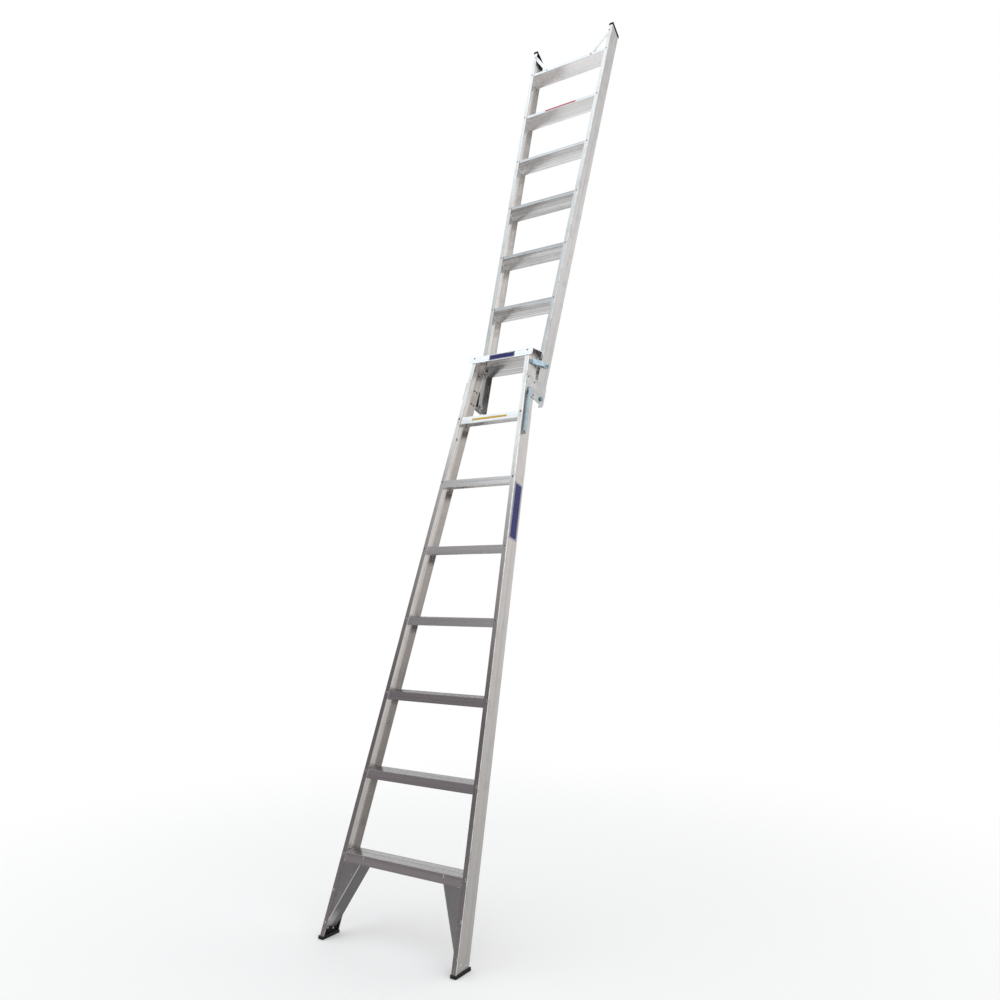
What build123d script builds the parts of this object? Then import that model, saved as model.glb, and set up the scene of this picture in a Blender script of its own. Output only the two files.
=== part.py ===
from build123d import *
import os
from math import atan, cos, degrees, hypot, radians, sin, tan

# Combination ladder: a front step section, and a rear section hinged behind its top that is
# swung up here as an extension. Sizes are millimetres and degrees.
# World: X across, Z up, floor at Z = 0, origin midway between the front edges of the feet.
# Ladder: w across, d depth to the rear, s up along the leaning stiles.

# Stance and steps
lean = 18.0
step_pitch = 300.0
lower_tread_count = 7
upper_tread_count = 7

# Half widths over the stiles
base_half_width = 304.0
neck_half_width = 146.5
hinge_half_width = 156.5
tip_half_width = 235.0

# Stile extrusion
stile_depth = 73.0
stile_flange = 20.0
stile_wall = 2.5
stile_corner = 2.5

# Treads and top cap
tread_wall = 2.5
tread_lip = 33.0
upper_lip = 16.0
tread_end_gap = 2.0
rib_count = 7
rib_width = 3.0
rib_height = 0.6
cap_half_width = 164.0
cap_wall = 3.0
cap_lip = 31.0
cap_clear = 0.25
cap_corner = 10.0

# Rear section
section_gap = 13.0
upper_first_rise = 8.0
rear_lean = 16.8
stile_heel = 20.0
tip_wall = 4.0
tip_skirt = 5.0
tip_side = 2.0
tip_clear = 0.1

# Fold hinge
pivot_drop = 185.0
plate_wall = 4.0
plate_gap = 3.0
plate_below = 25.0
plate_above = 68.0
plate_front = 3.0
plate_behind = 30.0
plate_corner = 9.0
plate_twist_end = 15.0
plate_rivet_low = 13.0
plate_rivet_high = 50.0
plate_rivet_front = 10.0
plate_rivet_rear = 62.0
bolt_diameter = 10.0
bolt_head_flats = 17.0
bolt_head_height = 6.4
nut_height = 8.0
washer_diameter = 20.0
washer_wall = 1.6
bush_diameter = 14.0
bush_length = 2.9
tilt_gap = 0.4

# Latch hooks and the studs that they hold
latch_wall = 4.0
latch_half_height = 11.0
latch_plane = 167.0
latch_root_plane = 156.0
latch_pivot_depth = 24.0
latch_pivot_drop = 50.0
latch_nose = 6.0
latch_finger = 120.0
latch_bend_start = 28.0
latch_bend_end = 50.0
latch_bush_diameter = 16.0
keeper_reach = 165.0
keeper_diameter = 10.0
keeper_head_diameter = 16.0
keeper_head = 3.0
hook_clear = 0.4

# Spreader arms
arm_wall = 4.0
arm_half_width = 9.0
arm_standoff = 6.5
arm_pivot_depth = 24.0
arm_pivot_below = 209.0
arm_beyond_hook = 8.0

# Small studs, nuts and rivets
stud_diameter = 8.0
stud_clear = 0.08
stud_head_diameter = 14.0
stud_head = 3.0
small_nut_flats = 13.0
small_nut_height = 6.0
stud_end = 2.0
rivet_diameter = 4.8
rivet_clear = 0.1
rivet_head_diameter = 10.0
rivet_head = 2.6
rivet_bulb_diameter = 7.2
rivet_bulb = 2.4
rivet_inset = 9.5
front_rivet_drop = 6.0
rear_rivet_drop = 16.0
upper_rivet_drop = 10.0

# Bottom gussets and tip braces
gusset_wall = 2.5
gusset_top_in = 97.0
gusset_foot_height = 45.0
gusset_foot_gap = 2.5
gusset_rivet_inset = 7.0
gusset_depth = 63.0
gusset_tab_width = 56.0
gusset_tab_low = 32.0
gusset_tab_drop = 9.0
gusset_tab_margin = 3.5
brace_wall = 2.5
brace_width = 17.0
brace_foot_half = 130.0
brace_foot_rise = 9.5
brace_foot_gap = 4.0
brace_tip_drop = 43.0
brace_tip_inset = 14.5

# Feet, buffers and film panels
foot_height = 10.0
foot_groove = 1.2
foot_side = 2.5
foot_toe = 2.0
foot_heel = 5.0
tongue_wall = 5.0
tongue_height = 62.0
tongue_margin = 8.0
tongue_rivet_height = 40.0
buffer_width = 16.0
buffer_height = 20.0
buffer_clear = 0.2
buffer_stem = 8.0
buffer_drop = 55.0
film = 0.3
strip_length = 176.0
strip_height = 9.0
cap_panel_length = 132.0
cap_panel_height = 27.0
cap_panel_middle = 8.0
side_panel_length = 242.0
side_panel_height = 54.0
side_panel_middle = 1658.0

# Derived directions and planes
lean_angle = radians(lean)
slope = tan(lean_angle)
up_stile = Vector(0, sin(lean_angle), cos(lean_angle))
to_rear = Vector(0, cos(lean_angle), -sin(lean_angle))
stance = Plane(origin=(0, 0, 0), x_dir=(1, 0, 0), z_dir=up_stile)


def at(w, d, s):
    """World point of a place on the ladder."""
    return stance.from_local_coords(Vector(w, d, s))


def direction(w, d, s):
    """World direction of a direction on the ladder."""
    return Vector(1, 0, 0) * w + to_rear * d + up_stile * s


def front_plane(d):
    """Plane facing the front at depth d: x is w, y is s."""
    return Plane(origin=at(0, d, 0), x_dir=(1, 0, 0), z_dir=to_rear * -1)


def rear_plane(d):
    """Plane facing the rear at depth d: x is -w, y is s."""
    return Plane(origin=at(0, d, 0), x_dir=(-1, 0, 0), z_dir=to_rear)


def side_plane(w):
    """Plane facing +X at w: x is d, y is s."""
    return Plane(origin=at(w, 0, 0), x_dir=to_rear, z_dir=(1, 0, 0))


def on(plane, x, y):
    """The same plane with its origin at x, y."""
    return Plane(plane.from_local_coords(Vector(x, y, 0)), x_dir=plane.x_dir, z_dir=plane.z_dir)


def mirrored(plane):
    """The plane's image on the left side, its normal mirrored too."""
    origin = plane.origin
    normal = plane.z_dir
    return Plane(Vector(-origin.X, origin.Y, origin.Z), z_dir=Vector(-normal.X, normal.Y, normal.Z))


# Derived heights along the stiles
cap_edge = step_pitch * (lower_tread_count + 1)
pivot_height = cap_edge - pivot_drop
upper_front = stile_depth + section_gap
pivot_depth = upper_front + stile_depth / 2
first_upper_edge = cap_edge + upper_first_rise
top_upper_edge = first_upper_edge + step_pitch * (upper_tread_count - 1)
lower_edges = [step_pitch * (i + 1) for i in range(lower_tread_count)]
upper_edges = [first_upper_edge + step_pitch * i for i in range(upper_tread_count)]

# The rear section reaches the floor on its tips when it is folded out at its own lean
pivot_world = at(0, pivot_depth, pivot_height)
rear_lean_angle = radians(rear_lean)
rear_slope = tan(rear_lean_angle)
tip_height = pivot_height + pivot_world.Z / cos(rear_lean_angle) + stile_depth / 2 * rear_slope
tip_overrun = tip_height - top_upper_edge
step_fold = radians(180) - lean_angle - rear_lean_angle

# Tapers
lower_taper = (base_half_width - neck_half_width) / cap_edge
upper_flare = (tip_half_width - hinge_half_width) / (tip_height - pivot_height)
lower_tilt = atan(lower_taper)
upper_tilt = atan(upper_flare)
lower_out = direction(cos(lower_tilt), 0, sin(lower_tilt))
lower_axis = direction(-sin(lower_tilt), 0, cos(lower_tilt))
upper_out = direction(cos(upper_tilt), 0, -sin(upper_tilt))
upper_axis = direction(sin(upper_tilt), 0, cos(upper_tilt))


def lower_half(s):
    """Half width over the lower stiles at s."""
    return base_half_width - lower_taper * s


def upper_half(s):
    """Half width over the upper stiles at s."""
    return hinge_half_width + upper_flare * (s - pivot_height)


def lower_web(out):
    """Plane along the lower right web, out beyond its outer face: x is d, y is up the stile."""
    return Plane(at(base_half_width, 0, 0) + lower_out * out, x_dir=to_rear, z_dir=lower_out)


def upper_web(out):
    """Plane along the upper right web, out beyond its outer face: x is d, y is up from the pivot."""
    origin = at(hinge_half_width, 0, pivot_height) + upper_out * out
    return Plane(origin, x_dir=to_rear, z_dir=upper_out)


def up_lower(s):
    """Distance up the lower stile's web for a height s."""
    return s / cos(lower_tilt)


lower_section = Plane(at(base_half_width, 0, 0), x_dir=lower_out, z_dir=lower_axis)
upper_heel = at(hinge_half_width, upper_front, pivot_height) - upper_axis * stile_heel
upper_section = Plane(upper_heel, x_dir=upper_out, z_dir=upper_axis)
sole = Plane(at(0, upper_front, tip_height), z_dir=direction(0, sin(rear_lean_angle), cos(rear_lean_angle)))

stile_points = [
    (0, 0),
    (0, stile_depth),
    (-stile_flange, stile_depth),
    (-stile_flange, stile_depth - stile_wall),
    (-stile_wall, stile_depth - stile_wall),
    (-stile_wall, stile_wall),
    (-stile_flange, stile_wall),
    (-stile_flange, 0),
]

# Rivet places on the right side, as w and s
tread_front = stile_wall
tread_rear = stile_depth - stile_wall
lower_front_rivets = []
lower_rear_rivets = []
for edge in lower_edges:
    front_s = edge - front_rivet_drop
    rear_s = edge + (tread_rear - tread_front) * slope - rear_rivet_drop
    lower_front_rivets.append((lower_half(front_s) - rivet_inset, front_s))
    lower_rear_rivets.append((lower_half(rear_s) - rivet_inset, rear_s))
upper_front_rivets = []
upper_rear_rivets = []
for edge in upper_edges:
    front_s = edge + upper_rivet_drop
    rear_s = edge - (tread_rear - tread_front) * rear_slope + upper_rivet_drop
    upper_front_rivets.append((upper_half(front_s) - rivet_inset, front_s))
    upper_rear_rivets.append((upper_half(rear_s) - rivet_inset, rear_s))

cap_front = -cap_clear - cap_wall
cap_rear = stile_depth + cap_clear + cap_wall
cap_top = at(0, cap_front, cap_edge).Z
cap_front_s = cap_edge - front_rivet_drop
cap_rear_s = cap_edge + (cap_rear - cap_front) * slope - rear_rivet_drop
cap_front_rivet = (lower_half(cap_front_s) - rivet_inset, cap_front_s)
cap_rear_rivet = (lower_half(cap_rear_s) - rivet_inset, cap_rear_s)

# Gusset outline on the right side
gusset_top = step_pitch - tread_lip - cap_clear
gusset_bend = (lower_half(gusset_top) - gusset_top_in, gusset_top)
gusset_foot_in = stile_wall + tongue_wall + gusset_foot_gap
gusset_foot = (lower_half(gusset_foot_height) - gusset_foot_in, gusset_foot_height)
gusset_length = hypot(gusset_foot[0] - gusset_bend[0], gusset_foot[1] - gusset_bend[1])
gusset_across = (gusset_top - gusset_foot_height) / gusset_length
gusset_along = (gusset_foot[0] - gusset_bend[0]) / gusset_length
gusset_rivets = []
for share in (0.05, 0.55):
    s = gusset_foot_height + share * (gusset_top - gusset_foot_height)
    gusset_rivets.append((lower_half(s) - gusset_rivet_inset, s))
gusset_tab_rivet = (gusset_bend[0] - rivet_bulb_diameter, gusset_top + tread_lip - gusset_tab_drop)

# Brace places on the right side
brace_foot = (brace_foot_half, top_upper_edge + brace_foot_rise)
brace_tip_s = tip_height - brace_tip_drop
brace_tip = (upper_half(brace_tip_s) - brace_tip_inset, brace_tip_s)
brace_run = (brace_tip[0] - brace_foot[0], brace_tip[1] - brace_foot[1])
brace_length = hypot(brace_run[0], brace_run[1])
brace_turn = degrees(atan(brace_run[1] / brace_run[0]))
brace_middle = ((brace_tip[0] + brace_foot[0]) / 2, (brace_tip[1] + brace_foot[1]) / 2)
brace_step = top_upper_edge + upper_lip + cap_clear

# Hinge plate places
plate_rivet_places = []
for height in (pivot_height - plate_rivet_low, pivot_height + plate_rivet_high):
    for depth in (plate_rivet_front, plate_rivet_rear):
        plate_rivet_places.append((depth, up_lower(height)))
plate_low = pivot_height - plate_below
plate_high = pivot_height + plate_above
leaf_out = hinge_half_width + plate_gap + plate_wall
web_in = hinge_half_width - stile_wall / cos(upper_tilt)

# Latch, keeper and spreader places
latch_pivot = (latch_pivot_depth, cap_edge - latch_pivot_drop)
keeper = (pivot_depth, pivot_height + keeper_reach)
latch_run = hypot(keeper[0] - latch_pivot[0], keeper[1] - latch_pivot[1])
latch_turn = atan((keeper[1] - latch_pivot[1]) / (keeper[0] - latch_pivot[0]))
arm_pivot = (arm_pivot_depth, up_lower(pivot_height - arm_pivot_below))
keeper_step_d = pivot_depth + keeper_reach * sin(step_fold)
keeper_step_s = pivot_height + keeper_reach * cos(step_fold)
arm_hook = hypot(keeper_step_d - arm_pivot_depth, keeper_step_s - (pivot_height - arm_pivot_below))
hook_radius = keeper_diameter / 2 + hook_clear
keeper_out = lower_half(keeper_step_s) + arm_standoff + arm_wall + 2 * hook_clear
rivet_hole = rivet_diameter / 2 + rivet_clear
stud_hole = stud_diameter / 2 + rivet_clear
stud_bore = stud_diameter / 2 + stud_clear
buffer_s = cap_edge - buffer_drop
buffer_w = lower_half(buffer_s) - buffer_width / 2 - stile_corner


def channel_points(front, rear, edge, lip, wall, grade, facing):
    """Tread section as d, s: a plate level in use, with a lip along each flange."""
    skin = wall * hypot(1, grade)

    def place(d, drop):
        return (d, edge + facing * ((d - front) * grade - drop))

    return [
        place(front, 0),
        place(rear, 0),
        place(rear, lip),
        place(rear - wall, lip),
        place(rear - wall, skin),
        place(front + wall, skin),
        place(front + wall, lip),
        place(front, lip),
    ]


def rib_places(front, rear, edge, grade, facing):
    """Middles of the anti-slip ribs on a tread's plate, sunk a little into it."""
    places = []
    sunk = rib_height / 4 * hypot(1, grade)
    for i in range(rib_count):
        d = front + (i + 0.5) * (rear - front) / rib_count
        places.append((d, edge + facing * ((d - front) * grade + sunk)))
    return places


def tread(depth, edge, lip, grade, facing, half_width, end_plane, front_rivets, rear_rivet):
    """Ribbed tread between two stiles, cut to their taper and drilled for its rivets."""
    front = depth + tread_front
    rear = depth + tread_rear
    with BuildPart() as body:
        with BuildSketch(side_plane(0)):
            Polygon(*channel_points(front, rear, edge, lip, tread_wall, grade, facing), align=None)
            with Locations(*rib_places(front, rear, edge, grade, facing)):
                Rectangle(rib_width, rib_height * 1.5, rotation=facing * degrees(atan(grade)))
        extrude(amount=half_width, both=True)
        split(bisect_by=end_plane, keep=Keep.BOTTOM)
        split(bisect_by=mirrored(end_plane), keep=Keep.BOTTOM)
        with BuildSketch(front_plane(front)):
            with Locations(*front_rivets, *[(-w, s) for w, s in front_rivets]):
                Circle(rivet_hole)
        extrude(amount=-tread_wall, mode=Mode.SUBTRACT)
        with BuildSketch(rear_plane(rear)):
            with Locations((rear_rivet[0], rear_rivet[1]), (-rear_rivet[0], rear_rivet[1])):
                Circle(rivet_hole)
        extrude(amount=-tread_wall, mode=Mode.SUBTRACT)
    return body


def rivet(grip):
    """Rivet standing on Z = 0: domed head above, shank through the grip, bulb beyond it."""
    with BuildPart() as body:
        with BuildSketch(Plane.XZ):
            with BuildLine():
                TangentArc((0, rivet_head), (rivet_head_diameter / 2, 0), tangent=(1, 0))
                Polyline(
                    (rivet_head_diameter / 2, 0),
                    (rivet_diameter / 2, 0),
                    (rivet_diameter / 2, -grip),
                    (rivet_bulb_diameter / 2, -grip),
                    (rivet_bulb_diameter / 2, -grip - rivet_bulb),
                    (0, -grip - rivet_bulb),
                    (0, rivet_head),
                )
            make_face()
        revolve(axis=Axis.Z)
    return body


def rivet_group(places, grip):
    """One kind of rivet at every place, and at its image on the left side."""
    one = rivet(grip)
    with BuildPart() as body:
        with Locations(*places):
            add(one.part)
        mirror(body.part, about=Plane.YZ)
    return body


def left_of(right):
    """The mirror image of a right-hand piece."""
    with BuildPart() as body:
        mirror(right.part, about=Plane.YZ)
    return body


def pair_of(right):
    """A right-hand piece and its image, as two solids of one node."""
    with BuildPart() as body:
        add(right.part)
        mirror(right.part, about=Plane.YZ)
    return body


pieces = {}

# Lower stiles
with BuildPart() as lower_stile_right:
    with BuildSketch(lower_section):
        Polygon(*stile_points, align=None)
        fillet(vertices().sort_by(Axis.X)[-2:], radius=stile_corner)
    extrude(amount=cap_edge + 2 * stile_depth)
    split(bisect_by=Plane.XY.offset(foot_height), keep=Keep.TOP)
    split(bisect_by=Plane.XY.offset(cap_top - cap_wall), keep=Keep.BOTTOM)
    with BuildSketch(front_plane(0)):
        with Locations(*lower_front_rivets, cap_front_rivet, *gusset_rivets):
            Circle(rivet_hole)
    extrude(amount=-stile_wall, mode=Mode.SUBTRACT)
    with BuildSketch(rear_plane(stile_depth)):
        with Locations(*[(-w, s) for w, s in lower_rear_rivets + [cap_rear_rivet]]):
            Circle(rivet_hole)
        with Locations((-buffer_w, buffer_s)):
            Circle(buffer_stem / 2)
    extrude(amount=-stile_wall, mode=Mode.SUBTRACT)
    with BuildSketch(lower_web(0)):
        with Locations(*plate_rivet_places):
            Circle(rivet_hole)
        with Locations((stile_depth * 0.3, tongue_rivet_height), (stile_depth * 0.7, tongue_rivet_height)):
            Circle(rivet_hole)
        with Locations(arm_pivot):
            Circle(stud_hole)
    extrude(amount=-stile_wall, mode=Mode.SUBTRACT)
    with BuildSketch(side_plane(latch_plane)):
        with Locations(latch_pivot):
            Circle(stud_hole)
    extrude(amount=-latch_plane, mode=Mode.SUBTRACT)
pieces["lower_stile_right"] = lower_stile_right
pieces["lower_stile_left"] = left_of(lower_stile_right)

# Lower treads, first at the bottom
lower_end = lower_web(-stile_wall - tread_end_gap)
for i in range(lower_tread_count):
    front_rivets = [lower_front_rivets[i]]
    if i == 0:
        front_rivets.append(gusset_tab_rivet)
    pieces[f"lower_tread_{i + 1}"] = tread(
        0, lower_edges[i], tread_lip, slope, 1, base_half_width, lower_end, front_rivets, lower_rear_rivets[i]
    )

# Top cap over the lower stiles
cap_lip_faces = [
    (front_plane(cap_front), cap_edge - cap_lip),
    (rear_plane(cap_rear), cap_edge + (cap_rear - cap_front) * slope - cap_lip),
]
with BuildPart() as top_cap:
    with BuildSketch(side_plane(0)):
        Polygon(*channel_points(cap_front, cap_rear, cap_edge, cap_lip, cap_wall, slope, 1), align=None)
    extrude(amount=cap_half_width, both=True)
    for face, bottom in cap_lip_faces:
        with BuildSketch(face):
            with Locations((cap_half_width, bottom)):
                Rectangle(cap_corner, cap_corner, align=(Align.MAX, Align.MIN))
            with Locations((-cap_half_width, bottom)):
                Rectangle(cap_corner, cap_corner, align=(Align.MIN, Align.MIN))
            with Locations((cap_half_width - cap_corner, bottom + cap_corner)):
                Circle(cap_corner, mode=Mode.SUBTRACT)
            with Locations((cap_corner - cap_half_width, bottom + cap_corner)):
                Circle(cap_corner, mode=Mode.SUBTRACT)
        extrude(amount=-cap_wall, mode=Mode.SUBTRACT)
    with BuildSketch(side_plane(0)):
        with Locations(*rib_places(cap_front, cap_rear, cap_edge, slope, 1)):
            Rectangle(rib_width, rib_height * 1.5, rotation=lean)
    extrude(amount=cap_half_width, both=True)
    with BuildSketch(front_plane(cap_front)):
        with Locations((cap_front_rivet[0], cap_front_rivet[1]), (-cap_front_rivet[0], cap_front_rivet[1])):
            Circle(rivet_hole)
    extrude(amount=-cap_wall, mode=Mode.SUBTRACT)
    with BuildSketch(rear_plane(cap_rear)):
        with Locations((cap_rear_rivet[0], cap_rear_rivet[1]), (-cap_rear_rivet[0], cap_rear_rivet[1])):
            Circle(rivet_hole)
    extrude(amount=-cap_wall, mode=Mode.SUBTRACT)
pieces["top_cap"] = top_cap

# Bottom gussets: a front plate behind the flange, a tab behind the lip, a web going back
gusset_back = stile_wall + gusset_wall
with BuildPart() as gusset_right:
    with BuildSketch(front_plane(stile_wall)):
        Polygon(
            gusset_bend,
            (lower_half(gusset_top) - stile_wall - tread_end_gap, gusset_top),
            (lower_half(gusset_foot_height) - stile_wall - tread_end_gap, gusset_foot_height),
            gusset_foot,
            align=None,
        )
        with Locations(*gusset_rivets):
            Circle(rivet_hole, mode=Mode.SUBTRACT)
    extrude(amount=-gusset_wall)
    with BuildSketch(front_plane(stile_wall)):
        Polygon(
            gusset_bend,
            gusset_foot,
            (gusset_foot[0] + gusset_wall * gusset_across, gusset_foot[1] + gusset_wall * gusset_along),
            (gusset_bend[0] + gusset_wall * gusset_across, gusset_bend[1] + gusset_wall * gusset_along),
            align=None,
        )
    extrude(amount=-gusset_depth)
    split(bisect_by=stance.offset(gusset_top), keep=Keep.BOTTOM)
    with BuildSketch(front_plane(gusset_back)):
        Polygon(
            gusset_bend,
            (gusset_bend[0] - stile_flange + gusset_wall, gusset_top + gusset_wall),
            (gusset_bend[0] - stile_flange + gusset_wall, gusset_top + tread_lip - gusset_tab_margin),
            (gusset_bend[0] + gusset_tab_width, gusset_top + tread_lip - gusset_tab_margin),
            (gusset_bend[0] + gusset_tab_width, gusset_top - gusset_tab_low),
            (gusset_bend[0] + gusset_tab_low * gusset_along / gusset_across, gusset_top - gusset_tab_low),
            align=None,
        )
        with Locations(gusset_tab_rivet):
            Circle(rivet_hole, mode=Mode.SUBTRACT)
    extrude(amount=-gusset_wall)
pieces["gusset_right"] = gusset_right
pieces["gusset_left"] = left_of(gusset_right)

# Rubber feet: a level pad under the stile and a tongue riveted inside its web
foot_rear = (foot_height * slope) + stile_depth / cos(lean_angle) + foot_heel
with BuildPart() as foot_right:
    with BuildSketch(lower_web(-stile_wall)):
        with Locations((stile_depth / 2, tongue_height / 2)):
            Rectangle(stile_depth - 2 * tongue_margin, tongue_height)
        fillet(vertices().sort_by(Axis.Y)[-2:], radius=tongue_margin)
        with Locations((stile_depth * 0.3, tongue_rivet_height), (stile_depth * 0.7, tongue_rivet_height)):
            Circle(rivet_hole, mode=Mode.SUBTRACT)
    extrude(amount=-tongue_wall)
    split(bisect_by=Plane.XY, keep=Keep.TOP)
    with BuildSketch(Plane.XY):
        with Locations((base_half_width + foot_side, -foot_toe)):
            Rectangle(stile_flange + 2 * foot_side, foot_rear + foot_toe, align=(Align.MAX, Align.MIN))
        fillet(vertices(), radius=foot_side)
    extrude(amount=foot_height)
    with BuildSketch(Plane.XY.offset((foot_height - foot_groove) / 2)):
        with Locations((base_half_width + 2 * foot_side, -foot_toe - foot_side)):
            Rectangle(
                stile_flange + 4 * foot_side,
                foot_rear + foot_toe + 2 * foot_side,
                align=(Align.MAX, Align.MIN),
            )
        with Locations((base_half_width + foot_side - foot_groove, foot_groove - foot_toe)):
            Rectangle(
                stile_flange + 2 * foot_side - 2 * foot_groove,
                foot_rear + foot_toe - 2 * foot_groove,
                align=(Align.MAX, Align.MIN),
                mode=Mode.SUBTRACT,
            )
    extrude(amount=foot_groove, mode=Mode.SUBTRACT)
pieces["foot_right"] = foot_right
pieces["foot_left"] = left_of(foot_right)

# Hinge plates: front leaf on the lower web, rear leaf along the upper web, a twist between
twist_rear = stile_depth + plate_twist_end


def leaf_points(half, extra):
    """Leaf section as w, s on an outer stile plane, set out by extra."""
    low = half(plate_low) + extra
    high = half(plate_high) + extra
    return [
        (low, plate_low),
        (low + plate_wall, plate_low),
        (high + plate_wall, plate_high),
        (high, plate_high),
    ]


with BuildPart() as hinge_plate_right:
    with BuildSketch(front_plane(plate_front)):
        Polygon(*leaf_points(lower_half, 0), align=None)
    extrude(amount=plate_front - stile_depth)
    with BuildSketch(front_plane(stile_depth)):
        Polygon(*leaf_points(lower_half, 0), align=None)
    with BuildSketch(front_plane(twist_rear)):
        Polygon(*leaf_points(upper_half, plate_gap), align=None)
    loft(ruled=True)
    with BuildSketch(front_plane(twist_rear)):
        Polygon(*leaf_points(upper_half, plate_gap), align=None)
    extrude(amount=twist_rear - pivot_depth - plate_behind)
    plate_ends = hinge_plate_right.edges().filter_by(Axis.X).sort_by(Axis((0, 0, 0), to_rear))
    fillet(plate_ends[:2] + plate_ends[-2:], radius=plate_corner)
    with BuildSketch(lower_web(plate_wall)):
        with Locations(*plate_rivet_places):
            Circle(rivet_hole)
    extrude(amount=-plate_wall, mode=Mode.SUBTRACT)
    with BuildSketch(side_plane(leaf_out)):
        with Locations((pivot_depth, pivot_height)):
            Circle(bolt_diameter / 2 + rivet_clear)
    extrude(amount=plate_gap + plate_wall, both=True, mode=Mode.SUBTRACT)
pieces["hinge_plate_right"] = hinge_plate_right
pieces["hinge_plate_left"] = left_of(hinge_plate_right)

# Pivot bolts, spacer and inner washers, nuts
head_face = leaf_out + tilt_gap
nut_face = web_in - tilt_gap - washer_wall
with BuildPart() as pivot_bolt:
    with BuildSketch(on(side_plane(head_face), pivot_depth, pivot_height)):
        RegularPolygon(bolt_head_flats / 2, 6, major_radius=False)
    extrude(amount=bolt_head_height)
    with BuildSketch(on(side_plane(head_face), pivot_depth, pivot_height)):
        Circle(bolt_diameter / 2)
    extrude(amount=nut_face - nut_height - stud_end - head_face)
pieces["pivot_bolts"] = pair_of(pivot_bolt)

with BuildPart() as pivot_washer:
    with BuildSketch(on(side_plane(hinge_half_width + tilt_gap), pivot_depth, pivot_height)):
        Circle(washer_diameter / 2)
        Circle(bolt_diameter / 2 + rivet_clear, mode=Mode.SUBTRACT)
    extrude(amount=plate_gap - 2 * tilt_gap)
    with BuildSketch(on(side_plane(nut_face), pivot_depth, pivot_height)):
        Circle(washer_diameter / 2)
        Circle(bolt_diameter / 2 + rivet_clear, mode=Mode.SUBTRACT)
    extrude(amount=washer_wall)
pieces["pivot_washers"] = pair_of(pivot_washer)

with BuildPart() as pivot_nut:
    with BuildSketch(on(side_plane(nut_face), pivot_depth, pivot_height)):
        RegularPolygon(bolt_head_flats / 2, 6, major_radius=False)
        Circle(bolt_diameter / 2 + rivet_clear, mode=Mode.SUBTRACT)
    extrude(amount=-nut_height)
pieces["pivot_nuts"] = pair_of(pivot_nut)

# Latch pivots: bush on the web, stud through it, nut inside
latch_web = lower_half(latch_pivot[1])
stud_head_face = latch_root_plane + latch_wall + hook_clear
latch_nut_face = latch_web - stile_wall / cos(lower_tilt) - 2 * tilt_gap
with BuildPart() as latch_bush:
    with BuildSketch(on(side_plane(latch_root_plane - hook_clear), *latch_pivot)):
        Circle(latch_bush_diameter / 2)
        Circle(stud_hole, mode=Mode.SUBTRACT)
    extrude(amount=latch_web - latch_root_plane - stile_wall)
    split(bisect_by=lower_web(0), keep=Keep.TOP)
pieces["latch_bushes"] = pair_of(latch_bush)

with BuildPart() as latch_stud:
    with BuildSketch(on(side_plane(stud_head_face), *latch_pivot)):
        Circle(stud_head_diameter / 2)
    extrude(amount=stud_head)
    with BuildSketch(on(side_plane(stud_head_face), *latch_pivot)):
        Circle(stud_diameter / 2)
    extrude(amount=latch_nut_face - small_nut_height - stud_end - stud_head_face)
pieces["latch_studs"] = pair_of(latch_stud)

# Spreader pivots
arm_face = arm_standoff + arm_wall + hook_clear
with BuildPart() as spreader_spacer:
    with BuildSketch(on(lower_web(0), *arm_pivot)):
        Circle(latch_bush_diameter / 2)
        Circle(stud_hole, mode=Mode.SUBTRACT)
    extrude(amount=arm_standoff - hook_clear)
pieces["spreader_spacers"] = pair_of(spreader_spacer)

with BuildPart() as spreader_stud:
    with BuildSketch(on(lower_web(arm_face), *arm_pivot)):
        Circle(stud_head_diameter / 2)
    extrude(amount=stud_head)
    with BuildSketch(on(lower_web(arm_face), *arm_pivot)):
        Circle(stud_diameter / 2)
    extrude(amount=-arm_face - stile_wall - small_nut_height - stud_end)
pieces["spreader_studs"] = pair_of(spreader_stud)

with BuildPart() as small_nut:
    with BuildSketch(on(side_plane(latch_nut_face), *latch_pivot)):
        RegularPolygon(small_nut_flats / 2, 6, major_radius=False)
        Circle(stud_hole, mode=Mode.SUBTRACT)
    extrude(amount=-small_nut_height)
    with BuildSketch(on(lower_web(-stile_wall), *arm_pivot)):
        RegularPolygon(small_nut_flats / 2, 6, major_radius=False)
        Circle(stud_hole, mode=Mode.SUBTRACT)
    extrude(amount=-small_nut_height)
pieces["lower_stud_nuts"] = pair_of(small_nut)

# Stop buffers between the two sections
with BuildPart() as stop_buffer:
    with BuildSketch(on(rear_plane(stile_depth), -buffer_w, buffer_s)):
        RectangleRounded(buffer_width, buffer_height, stile_corner)
    extrude(amount=section_gap - buffer_clear)
    with BuildSketch(on(rear_plane(stile_depth), -buffer_w, buffer_s)):
        Circle(buffer_stem / 2 - rivet_clear)
    extrude(amount=-2 * stile_wall)
pieces["stop_buffer_right"] = stop_buffer
pieces["stop_buffer_left"] = left_of(stop_buffer)

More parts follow.
